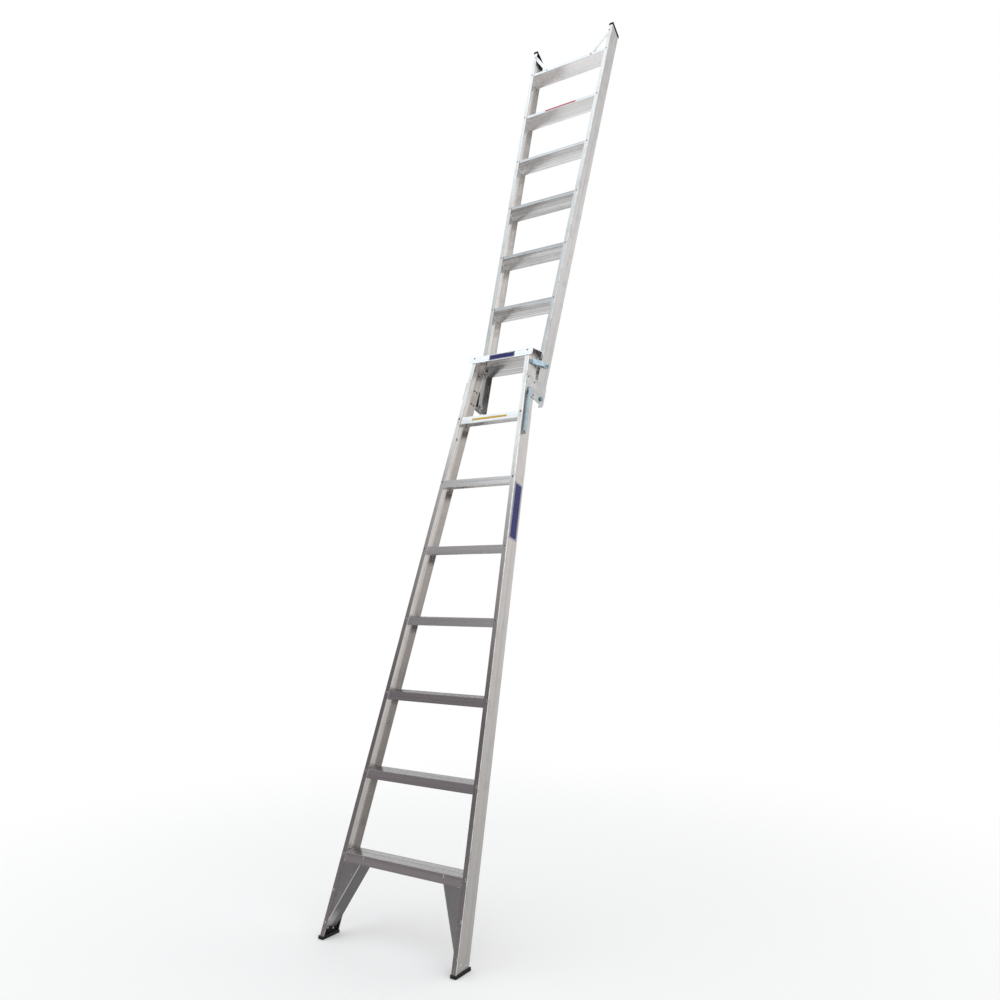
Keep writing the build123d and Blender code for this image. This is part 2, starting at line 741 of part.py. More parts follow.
# Lower rivets
lower_places = [on(front_plane(0), w, s) for w, s in lower_front_rivets]
lower_places += [on(rear_plane(stile_depth), -w, s) for w, s in lower_rear_rivets]
pieces["lower_tread_rivets"] = rivet_group(lower_places, stile_wall + tread_wall)
cap_places = [on(front_plane(cap_front), *cap_front_rivet)]
cap_places.append(on(rear_plane(cap_rear), -cap_rear_rivet[0], cap_rear_rivet[1]))
pieces["cap_rivets"] = rivet_group(cap_places, cap_wall + cap_clear + stile_wall)
gusset_places = [on(front_plane(0), w, s) for w, s in gusset_rivets]
gusset_places.append(on(front_plane(tread_front), *gusset_tab_rivet))
pieces["gusset_rivets"] = rivet_group(gusset_places, stile_wall + gusset_wall)
tongue_places = [on(lower_web(0), stile_depth * share, tongue_rivet_height) for share in (0.3, 0.7)]
pieces["foot_rivets"] = rivet_group(tongue_places, stile_wall + tongue_wall)
plate_places = [on(lower_web(plate_wall), d, y) for d, y in plate_rivet_places]
pieces["hinge_plate_rivets"] = rivet_group(plate_places, plate_wall + stile_wall)

# Upper stiles
with BuildPart() as upper_stile_right:
    with BuildSketch(upper_section):
        Polygon(*stile_points, align=None)
        fillet(vertices().sort_by(Axis.X)[-2:], radius=stile_corner)
    extrude(amount=tip_height - pivot_height + 2 * stile_depth)
    split(bisect_by=sole.offset(-tip_wall), keep=Keep.BOTTOM)
    with BuildSketch(front_plane(upper_front)):
        with Locations(*upper_front_rivets, brace_tip):
            Circle(rivet_hole)
    extrude(amount=-stile_wall, mode=Mode.SUBTRACT)
    with BuildSketch(rear_plane(upper_front + stile_depth)):
        with Locations(*[(-w, s) for w, s in upper_rear_rivets]):
            Circle(rivet_hole)
    extrude(amount=-stile_wall, mode=Mode.SUBTRACT)
    with BuildSketch(side_plane(leaf_out)):
        with Locations((pivot_depth, pivot_height)):
            Circle(bush_diameter / 2)
        with Locations(keeper):
            Circle(stud_hole)
    extrude(amount=-leaf_out, mode=Mode.SUBTRACT)
pieces["upper_stile_right"] = upper_stile_right
pieces["upper_stile_left"] = left_of(upper_stile_right)

# Upper treads, first beside the top cap
upper_end = upper_web(-stile_wall - tread_end_gap)
for i in range(upper_tread_count):
    front_rivets = [upper_front_rivets[i]]
    if i == upper_tread_count - 1:
        front_rivets.append(brace_foot)
    pieces[f"upper_tread_{i + 1}"] = tread(
        upper_front,
        upper_edges[i],
        upper_lip,
        rear_slope,
        -1,
        tip_half_width,
        upper_end,
        front_rivets,
        upper_rear_rivets[i],
    )

# Tip braces: a strip behind the flange that steps behind the top tread's lip
with BuildPart() as tip_brace_right:
    with BuildSketch(front_plane(upper_front + stile_wall)):
        with Locations(brace_middle):
            SlotCenterToCenter(brace_length, brace_width, rotation=brace_turn)
        with Locations((brace_middle[0], brace_step)):
            Rectangle(tip_half_width, tip_overrun, align=(Align.CENTER, Align.MIN), mode=Mode.INTERSECT)
        with Locations(brace_tip):
            Circle(rivet_hole, mode=Mode.SUBTRACT)
    extrude(amount=-brace_wall)
    with BuildSketch(front_plane(upper_front + stile_wall + tread_wall)):
        with Locations(brace_middle):
            SlotCenterToCenter(brace_length, brace_width, rotation=brace_turn)
        with Locations((brace_middle[0], brace_step + brace_width)):
            Rectangle(tip_half_width, tip_overrun, align=(Align.CENTER, Align.MAX), mode=Mode.INTERSECT)
        with Locations((brace_middle[0], top_upper_edge + brace_foot_gap)):
            Rectangle(tip_half_width, tip_overrun, align=(Align.CENTER, Align.MIN), mode=Mode.INTERSECT)
        with Locations(brace_foot):
            Circle(rivet_hole, mode=Mode.SUBTRACT)
    extrude(amount=-brace_wall)
pieces["tip_brace_right"] = tip_brace_right
pieces["tip_brace_left"] = left_of(tip_brace_right)

# Tip caps: sleeves closed by a sole that lies level when the ladder stands as steps
tip_start = Plane(
    at(upper_half(tip_height), upper_front, tip_height) - upper_axis * (2 * stile_depth),
    x_dir=upper_out,
    z_dir=upper_axis,
)
with BuildPart() as tip_core:
    with BuildSketch(tip_start):
        with Locations((tip_clear, -tip_clear)):
            Rectangle(stile_flange + 2 * tip_clear, stile_depth + 2 * tip_clear, align=(Align.MAX, Align.MIN))
    extrude(amount=3 * stile_depth)
    split(bisect_by=sole.offset(-tip_wall), keep=Keep.BOTTOM)

tip_out = tip_clear + tip_side
with BuildPart() as tip_cap_right:
    with BuildSketch(tip_start):
        with Locations((tip_out, -tip_out)):
            Rectangle(stile_flange + 2 * tip_out, stile_depth + 2 * tip_out, align=(Align.MAX, Align.MIN))
        fillet(vertices(), radius=tip_side)
    extrude(amount=3 * stile_depth)
    split(bisect_by=sole, keep=Keep.BOTTOM)
    split(bisect_by=sole.offset(-tip_wall - tip_skirt), keep=Keep.TOP)
    add(tip_core.part, mode=Mode.SUBTRACT)
pieces["tip_cap_right"] = tip_cap_right
pieces["tip_cap_left"] = left_of(tip_cap_right)

# Pivot bushes in the upper webs
bush_place = side_plane((hinge_half_width + web_in - bush_length) / 2)
with BuildPart() as pivot_bush:
    with BuildSketch(on(bush_place, pivot_depth, pivot_height)):
        Circle(bush_diameter / 2 - stud_clear / 2)
        Circle(bolt_diameter / 2 + stud_clear, mode=Mode.SUBTRACT)
    extrude(amount=bush_length)
pieces["pivot_bushes"] = pair_of(pivot_bush)

# Keeper studs and their nuts
keeper_web = upper_half(keeper[1])
keeper_nut_face = keeper_web - stile_wall / cos(upper_tilt) - tilt_gap
with BuildPart() as keeper_stud:
    with BuildSketch(on(side_plane(keeper_web + tilt_gap), *keeper)):
        Circle(keeper_diameter / 2)
    extrude(amount=keeper_out - keeper_web - tilt_gap)
    with BuildSketch(on(side_plane(keeper_out), *keeper)):
        Circle(keeper_head_diameter / 2)
    extrude(amount=keeper_head)
    with BuildSketch(on(side_plane(keeper_web + tilt_gap), *keeper)):
        Circle(stud_diameter / 2)
    extrude(amount=keeper_nut_face - small_nut_height - stud_end - keeper_web - tilt_gap)
pieces["keeper_studs"] = pair_of(keeper_stud)

with BuildPart() as keeper_nut:
    with BuildSketch(on(side_plane(keeper_nut_face), *keeper)):
        RegularPolygon(small_nut_flats / 2, 6, major_radius=False)
        Circle(stud_hole, mode=Mode.SUBTRACT)
    extrude(amount=-small_nut_height)
pieces["keeper_nuts"] = pair_of(keeper_nut)

# Upper rivets
upper_places = [on(front_plane(upper_front), w, s) for w, s in upper_front_rivets]
upper_places += [on(rear_plane(upper_front + stile_depth), -w, s) for w, s in upper_rear_rivets]
pieces["upper_tread_rivets"] = rivet_group(upper_places, stile_wall + tread_wall)
brace_places = [on(front_plane(upper_front), *brace_tip)]
brace_places.append(on(front_plane(upper_front + stile_wall), *brace_foot))
pieces["brace_rivets"] = rivet_group(brace_places, stile_wall + brace_wall)

# Latch hooks: bar set out from its pivot to the keeper stud, nose behind the stud, finger above
latch_line = Plane(
    at(latch_root_plane, *latch_pivot), x_dir=direction(0, cos(latch_turn), sin(latch_turn)), z_dir=(1, 0, 0)
)
latch_edge = Plane(latch_line.origin, x_dir=latch_line.x_dir, z_dir=-latch_line.y_dir)
latch_set_out = latch_plane - latch_root_plane
latch_bend = atan(latch_set_out / (latch_bend_end - latch_bend_start))
latch_shift = latch_wall * tan(latch_bend / 2)
nose_start = latch_run + hook_radius
with BuildPart() as latch_hook_right:
    with BuildSketch(latch_line):
        Circle(latch_half_height)
        Polygon(
            (0, -latch_half_height),
            (nose_start + latch_nose, -latch_half_height),
            (nose_start + latch_nose, hook_radius),
            (latch_finger, hook_radius),
            (latch_finger, latch_half_height),
            (0, latch_half_height),
            align=None,
        )
        fillet(vertices().sort_by(Axis.X)[-2:], radius=hook_radius / 2)
        with Locations((latch_run, 0)):
            Circle(hook_radius, mode=Mode.SUBTRACT)
            Rectangle(
                2 * hook_radius, latch_half_height, align=(Align.CENTER, Align.MAX), mode=Mode.SUBTRACT
            )
        Circle(stud_bore, mode=Mode.SUBTRACT)
    extrude(amount=latch_set_out + latch_wall)
    with BuildSketch(latch_edge):
        Polygon(
            (-latch_finger, 0),
            (latch_bend_start, 0),
            (latch_bend_end, latch_set_out),
            (2 * latch_finger, latch_set_out),
            (2 * latch_finger, latch_set_out + latch_wall),
            (latch_bend_end - latch_shift, latch_set_out + latch_wall),
            (latch_bend_start - latch_shift, latch_wall),
            (-latch_finger, latch_wall),
            align=None,
        )
    extrude(amount=2 * latch_half_height, both=True, mode=Mode.INTERSECT)
pieces["latch_hook_right"] = latch_hook_right
pieces["latch_hook_left"] = left_of(latch_hook_right)

# Spreader arms: stowed up the stile, hook opening to the rear
with BuildPart() as spreader_arm_right:
    with BuildSketch(on(lower_web(arm_standoff), *arm_pivot)):
        Circle(arm_half_width)
        with Locations((0, arm_hook + arm_beyond_hook)):
            Rectangle(2 * arm_half_width, arm_hook + arm_beyond_hook, align=(Align.CENTER, Align.MAX))
        fillet(vertices().sort_by(Axis.Y)[-2:], radius=arm_half_width / 2)
        with Locations((0, arm_hook)):
            Circle(hook_radius, mode=Mode.SUBTRACT)
            Rectangle(arm_half_width, 2 * hook_radius, align=(Align.MIN, Align.CENTER), mode=Mode.SUBTRACT)
        Circle(stud_bore, mode=Mode.SUBTRACT)
    extrude(amount=arm_wall)
pieces["spreader_arm_right"] = spreader_arm_right
pieces["spreader_arm_left"] = left_of(spreader_arm_right)

# Plain film panels and strips
with BuildPart() as cap_panel:
    with BuildSketch(on(front_plane(cap_front), cap_panel_middle, cap_edge - cap_lip / 2)):
        Rectangle(cap_panel_length, cap_panel_height)
    extrude(amount=film)
pieces["cap_panel"] = cap_panel

with BuildPart() as side_panel:
    with BuildSketch(on(lower_web(0), stile_depth / 2, side_panel_middle)):
        Rectangle(side_panel_height, side_panel_length)
    extrude(amount=film)
pieces["side_panel"] = side_panel

with BuildPart() as tread_strip:
    with BuildSketch(on(front_plane(tread_front), 0, lower_edges[-1] - tread_lip / 2)):
        Rectangle(strip_length, strip_height)
    extrude(amount=film)
pieces["tread_strip"] = tread_strip

with BuildPart() as upper_strip:
    with BuildSketch(on(front_plane(upper_front + tread_front), 0, upper_edges[-2] + strip_height)):
        Rectangle(strip_length, strip_height)
    extrude(amount=film)
pieces["upper_strip"] = upper_strip

os.makedirs("parts", exist_ok=True)
for name, piece in pieces.items():
    piece.part.label = name
    export_step(piece.part, f"parts/{name}.step")
print(len(pieces), "pieces")
print("pivot", pivot_world, "latch pivot", at(latch_root_plane, *latch_pivot))
print("arm pivot", on(lower_web(arm_standoff), *arm_pivot).origin, "arm normal", lower_out)
print("step fold", degrees(step_fold), "rear lean", degrees(rear_lean_angle), "arm hook", arm_hook)
print("keeper", at(keeper_web, *keeper), "tip", at(0, upper_front, tip_height))
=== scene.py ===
# %% [markdown]
# # A combination ladder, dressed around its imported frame
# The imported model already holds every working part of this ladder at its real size: channel
# stiles, ribbed treads, rivets, hinge plates, hooks, arms and feet. So this lesson models little
# that is new. It sets up the camera, the room and the light, gives each metal, rubber, plastic and
# film its own procedural finish, and adds the pins in the heads of the rivets.

# %% Load the frame
import math

import bpy
import numpy as np
from mathutils import Matrix, Vector


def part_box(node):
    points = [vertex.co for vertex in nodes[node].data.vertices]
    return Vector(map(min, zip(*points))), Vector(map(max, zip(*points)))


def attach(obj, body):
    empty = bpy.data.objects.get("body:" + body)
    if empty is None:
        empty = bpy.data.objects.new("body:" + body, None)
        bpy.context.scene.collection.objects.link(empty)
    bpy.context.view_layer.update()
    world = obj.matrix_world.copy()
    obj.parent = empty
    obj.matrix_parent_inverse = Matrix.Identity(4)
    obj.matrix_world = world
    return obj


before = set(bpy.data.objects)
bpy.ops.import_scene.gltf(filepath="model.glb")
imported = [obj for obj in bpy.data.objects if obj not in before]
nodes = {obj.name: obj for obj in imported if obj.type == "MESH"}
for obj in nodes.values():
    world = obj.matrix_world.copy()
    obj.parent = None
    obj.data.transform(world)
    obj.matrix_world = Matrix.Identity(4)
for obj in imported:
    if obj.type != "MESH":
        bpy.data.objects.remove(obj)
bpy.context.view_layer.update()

# %% [markdown]
# ## Finding a place on a leaning ladder
# Every drawing of a ladder measures across it, back through its depth and up along the stiles.
# The ladder leans, so those directions are not the world's. One small function turns ladder
# measures into world places, and one gives the axes of a leaning, tapering stile. A Mapping node
# takes those axes as angles, so a finish that follows a stile needs no UV map.

# %% Ladder measures
LEAN = math.radians(18.0)
PITCH = 0.300
CAP_EDGE = 2.400
PIVOT_HEIGHT = 2.215
STILE_DEPTH = 0.073
STILE_FLANGE = 0.020
STILE_WALL = 0.0025
UPPER_FRONT = 0.086
BASE_HALF, NECK_HALF = 0.304, 0.1465
HINGE_HALF, TIP_HALF, TIP_HEIGHT = 0.1565, 0.235, 4.387
LOWER_TAPER = (BASE_HALF - NECK_HALF) / CAP_EDGE
UPPER_FLARE = (TIP_HALF - HINGE_HALF) / (TIP_HEIGHT - PIVOT_HEIGHT)


def on_ladder(w, d, s):
    """World places of ladder measures: w stays across, d and s turn together by the lean.

    The origin stays in place, so a direction turns in the same way.
    """
    w, d, s = np.broadcast_arrays(*(np.asarray(v, float) for v in (w, d, s)))
    y = d * math.cos(LEAN) + s * math.sin(LEAN)
    z = s * math.cos(LEAN) - d * math.sin(LEAN)
    return np.stack([w, y, z], axis=-1)


def leaning_axes(sideways):
    """A piece's own axes: tipped sideways by an angle, then leaned back."""
    return Matrix.Rotation(-LEAN, 3, "X") @ Matrix.Rotation(sideways, 3, "Y")


def angles(axes):
    """The same axes as the three angles that a Mapping node takes."""
    return tuple(axes.to_euler("XYZ"))


lower_tilt, upper_tilt = math.atan(LOWER_TAPER), math.atan(UPPER_FLARE)
print("tapers in degrees:", round(math.degrees(lower_tilt), 2), round(math.degrees(upper_tilt), 2))

# %% [markdown]
# ## The camera
# The picture was taken from the right of the ladder, a little above hip height, with a wide lens
# tilted slightly up. The place, the turn and the lens come from matching the rivets, so the camera
# is set by these numbers and not aimed by hand.

# %% Camera
CAMERA_PLACE = (2.0239, -2.3886, 1.2572)
CAMERA_AZIMUTH = math.radians(32.968)
CAMERA_PITCH = math.radians(5.788)
CAMERA_LENS, CAMERA_SENSOR = 31.238, 36.0
CAMERA_REACH = 200.0

camera_lens = bpy.data.cameras.new("ladder_camera")
camera_lens.sensor_width = CAMERA_SENSOR
camera_lens.lens = CAMERA_LENS
camera_lens.clip_end = CAMERA_REACH
camera = bpy.data.objects.new("ladder_camera", camera_lens)
camera.location = CAMERA_PLACE
camera.rotation_euler = (math.pi / 2 + CAMERA_PITCH, 0.0, CAMERA_AZIMUTH)
scene = bpy.context.scene
scene.collection.objects.link(camera)
scene.camera = camera
scene.view_settings.view_transform = "Standard"
print("camera at", CAMERA_PLACE, "with a lens of", CAMERA_LENS, "mm")

# %% [markdown]
# ## Small helpers for node trees
# A node tree is easier to read when one line makes one node, sets it and plugs it in. `put` does
# that: an input is either a plain value or a pair of a node and the name of its output. The other
# helpers return such pairs, so the result of one can go straight into the next.


# %% Node helpers
def plug(tree, node, inputs):
    """Inputs of a node: a pair of a node and its output is linked, and anything else is a value.

    A colour is given as red, green and blue.
    """
    for key, value in inputs.items():
        socket = node.inputs[key]
        if isinstance(value, tuple) and isinstance(value[0], bpy.types.Node):
            tree.links.new(value[0].outputs[value[1]], socket)
        elif socket.type == "RGBA":
            socket.default_value = (*value, 1.0)
        else:
            socket.default_value = value


def put(tree, kind, inputs=None, **settings):
    """One node: its settings first, because they can change its sockets, then its inputs."""
    node = tree.nodes.new(kind)
    for key, value in settings.items():
        setattr(node, key, value)
    plug(tree, node, inputs or {})
    return node


def reckon(tree, operation, first, second=0.0):
    """One step of arithmetic on two values."""
    return put(tree, "ShaderNodeMath", {0: first, 1: second}, operation=operation), "Value"


def remap(tree, value, span, to=(0.0, 1.0), smooth=False):
    """A value moved from one span to another, held at its ends, straight or as an S curve."""
    shape = "SMOOTHSTEP" if smooth else "LINEAR"
    ends = {"Value": value, 1: span[0], 2: span[1], 3: to[0], 4: to[1]}
    return put(tree, "ShaderNodeMapRange", ends, interpolation_type=shape), "Result"


def blank_material(name):
    """A material with an empty node tree."""
    material = bpy.data.materials.new(name)
    material.use_nodes = True
    material.node_tree.nodes.clear()
    return material, material.node_tree


print("node helpers ready")

# %% [markdown]
# ## The floor
# The ladder stands on a plain pale floor with no visible far edge. Close to the feet the floor is
# an ordinary matt surface, so it shows the soft shadow. Further out it fades into plain white. A
# curved backdrop would do the same, but a fade by distance looks right from every side. The fade
# is for rays from the camera and for rays that a mirror or a clear surface sends on, so the metal
# shows the same floor that the camera sees, and matt surfaces get no extra light from it.

# %% Floor mesh
FLOOR_HALF, FLOOR_DROP, FLOOR_LINES = 60.0, 0.0004, 3


def floor_surface(half, count):
    """A level grid: x and y run over the same even steps, and z is one constant just under 0."""
    steps = np.linspace(-half, half, count)
    x, y = np.meshgrid(steps, steps, indexing="ij")
    points = np.stack([x, y, np.full_like(x, -FLOOR_DROP)], axis=-1).reshape(-1, 3)
    index = np.arange(count * count).reshape(count, count)
    corners = [index[:-1, :-1], index[1:, :-1], index[1:, 1:], index[:-1, 1:]]
    return points, np.stack(corners, axis=-1).reshape(-1, 4)


def mesh_object(name, points, *face_sets):
    """A mesh object at the origin, with its place in its points."""
    mesh = bpy.data.meshes.new(name)
    mesh.from_pydata(points.tolist(), [], [face for faces in face_sets for face in faces.tolist()])
    mesh.update()
    made = bpy.data.objects.new(name, mesh)
    scene.collection.objects.link(made)
    return made


floor = mesh_object("studio_floor", *floor_surface(FLOOR_HALF, FLOOR_LINES))
print("floor:", 2 * FLOOR_HALF, "m square")

# %% Floor finish
FLOOR_MIDDLE, FLOOR_FADE = (0.0, 0.6, 0.0), (0.9, 3.2)
FLOOR_TONE = (0.95, 0.95, 0.95)
WHITE = (1.0, 1.0, 1.0)


def seen_directly(tree):
    """1 for rays from the camera, from mirrors and through clear surfaces, 0 for soft light."""
    ray = put(tree, "ShaderNodeLightPath")
    mirrored = reckon(tree, "MAXIMUM", (ray, "Is Glossy Ray"), (ray, "Is Transmission Ray"))
    return reckon(tree, "MAXIMUM", (ray, "Is Camera Ray"), mirrored)


def show_mix(tree, output, share, first, second):
    """An output node that shows a mix of two shaders: the first at share 0, the second at share 1."""
    mix = put(tree, "ShaderNodeMixShader", {0: share, 1: (first, 0), 2: (second, 0)})
    put(tree, output, {"Surface": (mix, "Shader")})


floor_finish, floor_tree = blank_material("pale_floor")
floor_place = put(floor_tree, "ShaderNodeTexCoord")
floor_ends = {0: (floor_place, "Object"), 1: FLOOR_MIDDLE}
floor_away = put(floor_tree, "ShaderNodeVectorMath", floor_ends, operation="DISTANCE")
floor_fade = remap(floor_tree, (floor_away, "Value"), FLOOR_FADE, smooth=True)
floor_share = reckon(floor_tree, "MULTIPLY", floor_fade, seen_directly(floor_tree))
floor_matt = put(floor_tree, "ShaderNodeBsdfDiffuse", {"Color": FLOOR_TONE})
floor_white = put(floor_tree, "ShaderNodeEmission", {"Color": WHITE, "Strength": 1.0})
show_mix(floor_tree, "ShaderNodeOutputMaterial", floor_share, floor_matt, floor_white)
floor.data.materials.append(floor_finish)
print("floor finish: matt to", FLOOR_FADE[0], "m, white from", FLOOR_FADE[1], "m")

# %% [markdown]
# ## The room
# Bare metal is mostly a picture of the room around it. The room is plain white to the camera and
# in the metal, and its soft light on matt surfaces is a shade lower, so that a colour renders
# about as it is written.

# %% Room light
ROOM_LIGHT = 0.96

room = bpy.data.worlds.new("studio_room")
scene.world = room
room.use_nodes = True
room_tree = room.node_tree
room_tree.nodes.clear()
room_light = put(room_tree, "ShaderNodeBackground", {"Color": WHITE, "Strength": ROOM_LIGHT})
room_white = put(room_tree, "ShaderNodeBackground", {"Color": WHITE, "Strength": 1.0})
show_mix(room_tree, "ShaderNodeOutputWorld", seen_directly(room_tree), room_light, room_white)
print("room: plain white, with soft light at", ROOM_LIGHT)

# %% [markdown]
# ## Two softboxes
# A broad lamp high in front gives the upper faces their bluish white shine and the floor a faint
# shadow. A second one stands behind the ladder on the right, where the webs of the stiles mirror
# it. Both are big and far away, so no edge of a shadow is hard, and both are weak.

# %% Softboxes
LAMP_TARGET = (0.0, 0.8, 2.0)


def aim(place, target):
    """Angles that turn a lamp's -Z axis from a place to a target."""
    return (Vector(place) - Vector(target)).to_track_quat("Z", "Y").to_euler()


def softbox(name, place, size, level, colour):
    """A square lamp whose face is `level` times as bright as white paper in full light."""
    light = bpy.data.lights.new(name, "AREA")
    light.shape = "SQUARE"
    light.size = size
    light.color = colour
    light.energy = level * math.pi * size**2
    lamp = bpy.data.objects.new(name, light)
    lamp.location = place
    lamp.rotation_euler = aim(place, LAMP_TARGET)
    scene.collection.objects.link(lamp)
    print(f"{name}: {light.energy:.0f} W over {size} m square")


softbox("softbox_front", place=(-4.2, -4.6, 11.3), size=7.0, level=0.38, colour=(0.55, 0.82, 1.0))
softbox("softbox_rear", place=(5.6, 9.6, 8.4), size=6.0, level=0.20, colour=(1.0, 0.99, 0.97))

# %% [markdown]
# ## A grey card in front
# A ladder in an all-white room would look flat. Photographers set a grey card in front of shiny
# metal, outside the picture, so that the faces turned towards it read darker than the rest. Here
# the card lies on the floor at the front left and then curves up. It glows with a grey of its own,
# which is painted light: it is palest near the floor, as painted light from the floor, and its edges
# fade out to clear: a little over the upper half, and wholly at the top, at the sides and close to
# the ladder. It is there for mirror rays only, so it takes no light from the floor and is never in
# the picture.

# %% Card sheet
CARD_RADII = np.array([2.6, 5.0, 6.6, 7.0, 7.0])
CARD_HEIGHTS = np.array([0.002, 0.002, 0.3, 1.0, 9.0])
CARD_MIDDLE, CARD_SPREAD = math.radians(-40.0), math.radians(56.0)
CARD_COLUMNS = 33


def card_surface(radii, heights, columns):
    """A sheet swept round the ladder: each pair of radius and height turns from side to side."""
    angle = np.linspace(CARD_MIDDLE - CARD_SPREAD, CARD_MIDDLE + CARD_SPREAD, columns)
    x, y = np.outer(radii, np.sin(angle)), np.outer(radii, -np.cos(angle))
    z = np.repeat(heights[:, None], columns, axis=1)
    index = np.arange(len(radii) * columns).reshape(len(radii), columns)
    corners = [index[:-1, :-1], index[:-1, 1:], index[1:, 1:], index[1:, :-1]]
    return np.stack([x, y, z], axis=-1).reshape(-1, 3), np.stack(corners, axis=-1).reshape(-1, 4)


card = mesh_object("grey_card", *card_surface(CARD_RADII, CARD_HEIGHTS, CARD_COLUMNS))
for ray in ("camera", "diffuse", "transmission", "volume_scatter", "shadow"):
    setattr(card, f"visible_{ray}", False)
print("grey card:", CARD_HEIGHTS[-1], "m high at", CARD_RADII[-1], "m")

# %% Card finish
CARD_LOW_GLOW, CARD_HIGH_GLOW = (0.245, 0.222, 0.236), (0.140, 0.125, 0.135)
CARD_TONE_FADE = (1.4, 4.4)
CARD_UPPER_FADE, CARD_UPPER_SHARE = (3.6, 5.8), 0.28
CARD_TOP_FADE = (6.95, 7.3)
CARD_SIDE_FADE = (math.radians(32.0), math.radians(54.0))
CARD_NEAR_FADE = (2.8, 4.4)


def parts(tree, vector):
    """The X, the Y and the Z of a vector."""
    node = put(tree, "ShaderNodeSeparateXYZ", {0: vector})
    return (node, "X"), (node, "Y"), (node, "Z")


def blend_colour(tree, share, first, second):
    """A colour between two colours: the first at share 0, the second at share 1."""
    return put(tree, "ShaderNodeMix", {0: share, 6: first, 7: second}, data_type="RGBA"), 2


card_finish, card_tree = blank_material("grey_card")
card_place = put(card_tree, "ShaderNodeTexCoord")
card_x, card_y, card_z = parts(card_tree, (card_place, "Object"))
card_angle = reckon(card_tree, "ARCTAN2", card_x, reckon(card_tree, "MULTIPLY", card_y, -1.0))
card_off = reckon(card_tree, "ABSOLUTE", reckon(card_tree, "SUBTRACT", card_angle, CARD_MIDDLE))
card_out = put(card_tree, "ShaderNodeVectorMath", {0: (card_place, "Object")}, operation="LENGTH")
card_upper = remap(card_tree, card_z, CARD_UPPER_FADE, (0.0, CARD_UPPER_SHARE), smooth=True)
card_top = remap(card_tree, card_z, CARD_TOP_FADE, (0.0, 1.0 - CARD_UPPER_SHARE), smooth=True)
card_side = remap(card_tree, card_off, CARD_SIDE_FADE, smooth=True)
card_near = remap(card_tree, (card_out, "Value"), CARD_NEAR_FADE, (1.0, 0.0), smooth=True)
card_clear = reckon(card_tree, "MAXIMUM", reckon(card_tree, "ADD", card_upper, card_top), card_side)
card_clear = reckon(card_tree, "MAXIMUM", card_clear, card_near)
# Painted light: the card's own glow is palest low down, standing in for light from the floor.
card_height = remap(card_tree, card_z, CARD_TONE_FADE, smooth=True)
card_glow_tone = blend_colour(card_tree, card_height, CARD_LOW_GLOW, CARD_HIGH_GLOW)
card_glow = put(card_tree, "ShaderNodeEmission", {"Color": card_glow_tone, "Strength": 1.0})
card_open = put(card_tree, "ShaderNodeBsdfTransparent")
show_mix(card_tree, "ShaderNodeOutputMaterial", card_clear, card_glow, card_open)
card.data.materials.append(card_finish)
print("card finish: tones", CARD_LOW_GLOW, "to", CARD_HIGH_GLOW)

# %% [markdown]
# ## Shared effect: lines drawn by the die
# An aluminium profile is pushed through a steel die, and the die leaves fine lines along its whole
# length, grouped in broader bands. Noise that is stretched over a hundred times along one axis gives
# both. The group reads coordinates whose Z axis runs along the profile, so one group serves the
# stiles, the treads and the top cap.

# %% Group helpers
def new_group(name, values, outputs):
    """A shader node group, and its two end nodes: a vector and values go in, values come out."""
    group = bpy.data.node_groups.new(name, "ShaderNodeTree")
    group.interface.new_socket("Vector", in_out="INPUT", socket_type="NodeSocketVector")
    for label, value in values.items():
        socket = group.interface.new_socket(label, in_out="INPUT", socket_type="NodeSocketFloat")
        socket.default_value = value
    for label in outputs:
        group.interface.new_socket(label, in_out="OUTPUT", socket_type="NodeSocketFloat")
    return group, put(group, "NodeGroupInput"), put(group, "NodeGroupOutput")


def stretch(tree, vector, factors):
    """A vector scaled on each axis, which stretches any pattern that reads it."""
    return put(tree, "ShaderNodeVectorMath", {0: vector, 1: factors}, operation="MULTIPLY"), "Vector"


def noise(tree, vector, scale, detail, roughness, distortion=0.0):
    """Cloudy noise from 0 to 1, at a scale and with a depth of detail."""
    settings = {"Vector": vector, "Scale": scale, "Detail": detail, "Roughness": roughness}
    return put(tree, "ShaderNodeTexNoise", {**settings, "Distortion": distortion}), 0


def between(tree, share, low, high):
    """A value between two values: the first at share 0, the second at share 1."""
    return put(tree, "ShaderNodeMix", {0: share, 2: low, 3: high}, data_type="FLOAT"), 0


print("group helpers ready")

# %% Die lines group
LINE_SIZE, LINE_BAND, LINE_RUN = 900.0, 110.0, 0.006
LINE_NOISE, BAND_NOISE = (2.0, 0.6), (1.5, 0.5)
LINE_CUT, BAND_CUT = (0.30, 0.70), (0.32, 0.68)
BAND_SHARE = 0.62

die_lines, die_in, die_out = new_group(
    "die_lines", {"Fine": LINE_SIZE, "Broad": LINE_BAND, "Run": LINE_RUN}, ("Tone", "Height")
)
die_factors = put(die_lines, "ShaderNodeCombineXYZ", {0: 1.0, 1: 1.0, 2: (die_in, "Run")})
die_long = stretch(die_lines, (die_in, "Vector"), (die_factors, "Vector"))
die_fine = remap(die_lines, noise(die_lines, die_long, (die_in, "Fine"), *LINE_NOISE), LINE_CUT)
die_broad = remap(die_lines, noise(die_lines, die_long, (die_in, "Broad"), *BAND_NOISE), BAND_CUT)
die_tone = between(die_lines, BAND_SHARE, die_fine, die_broad)
plug(die_lines, die_out, {"Tone": die_tone, "Height": die_fine})
print("group:", die_lines.name)

# %% [markdown]
# ## Shared effect: handling marks
# A ladder is carried by its stiles and trodden on by boots. Hands leave cloudy dull patches, boots
# and tailgates leave short bright scuffs. Cloudy noise cut at a threshold makes the patches. The
# same noise squeezed hard along one axis makes the scuffs.

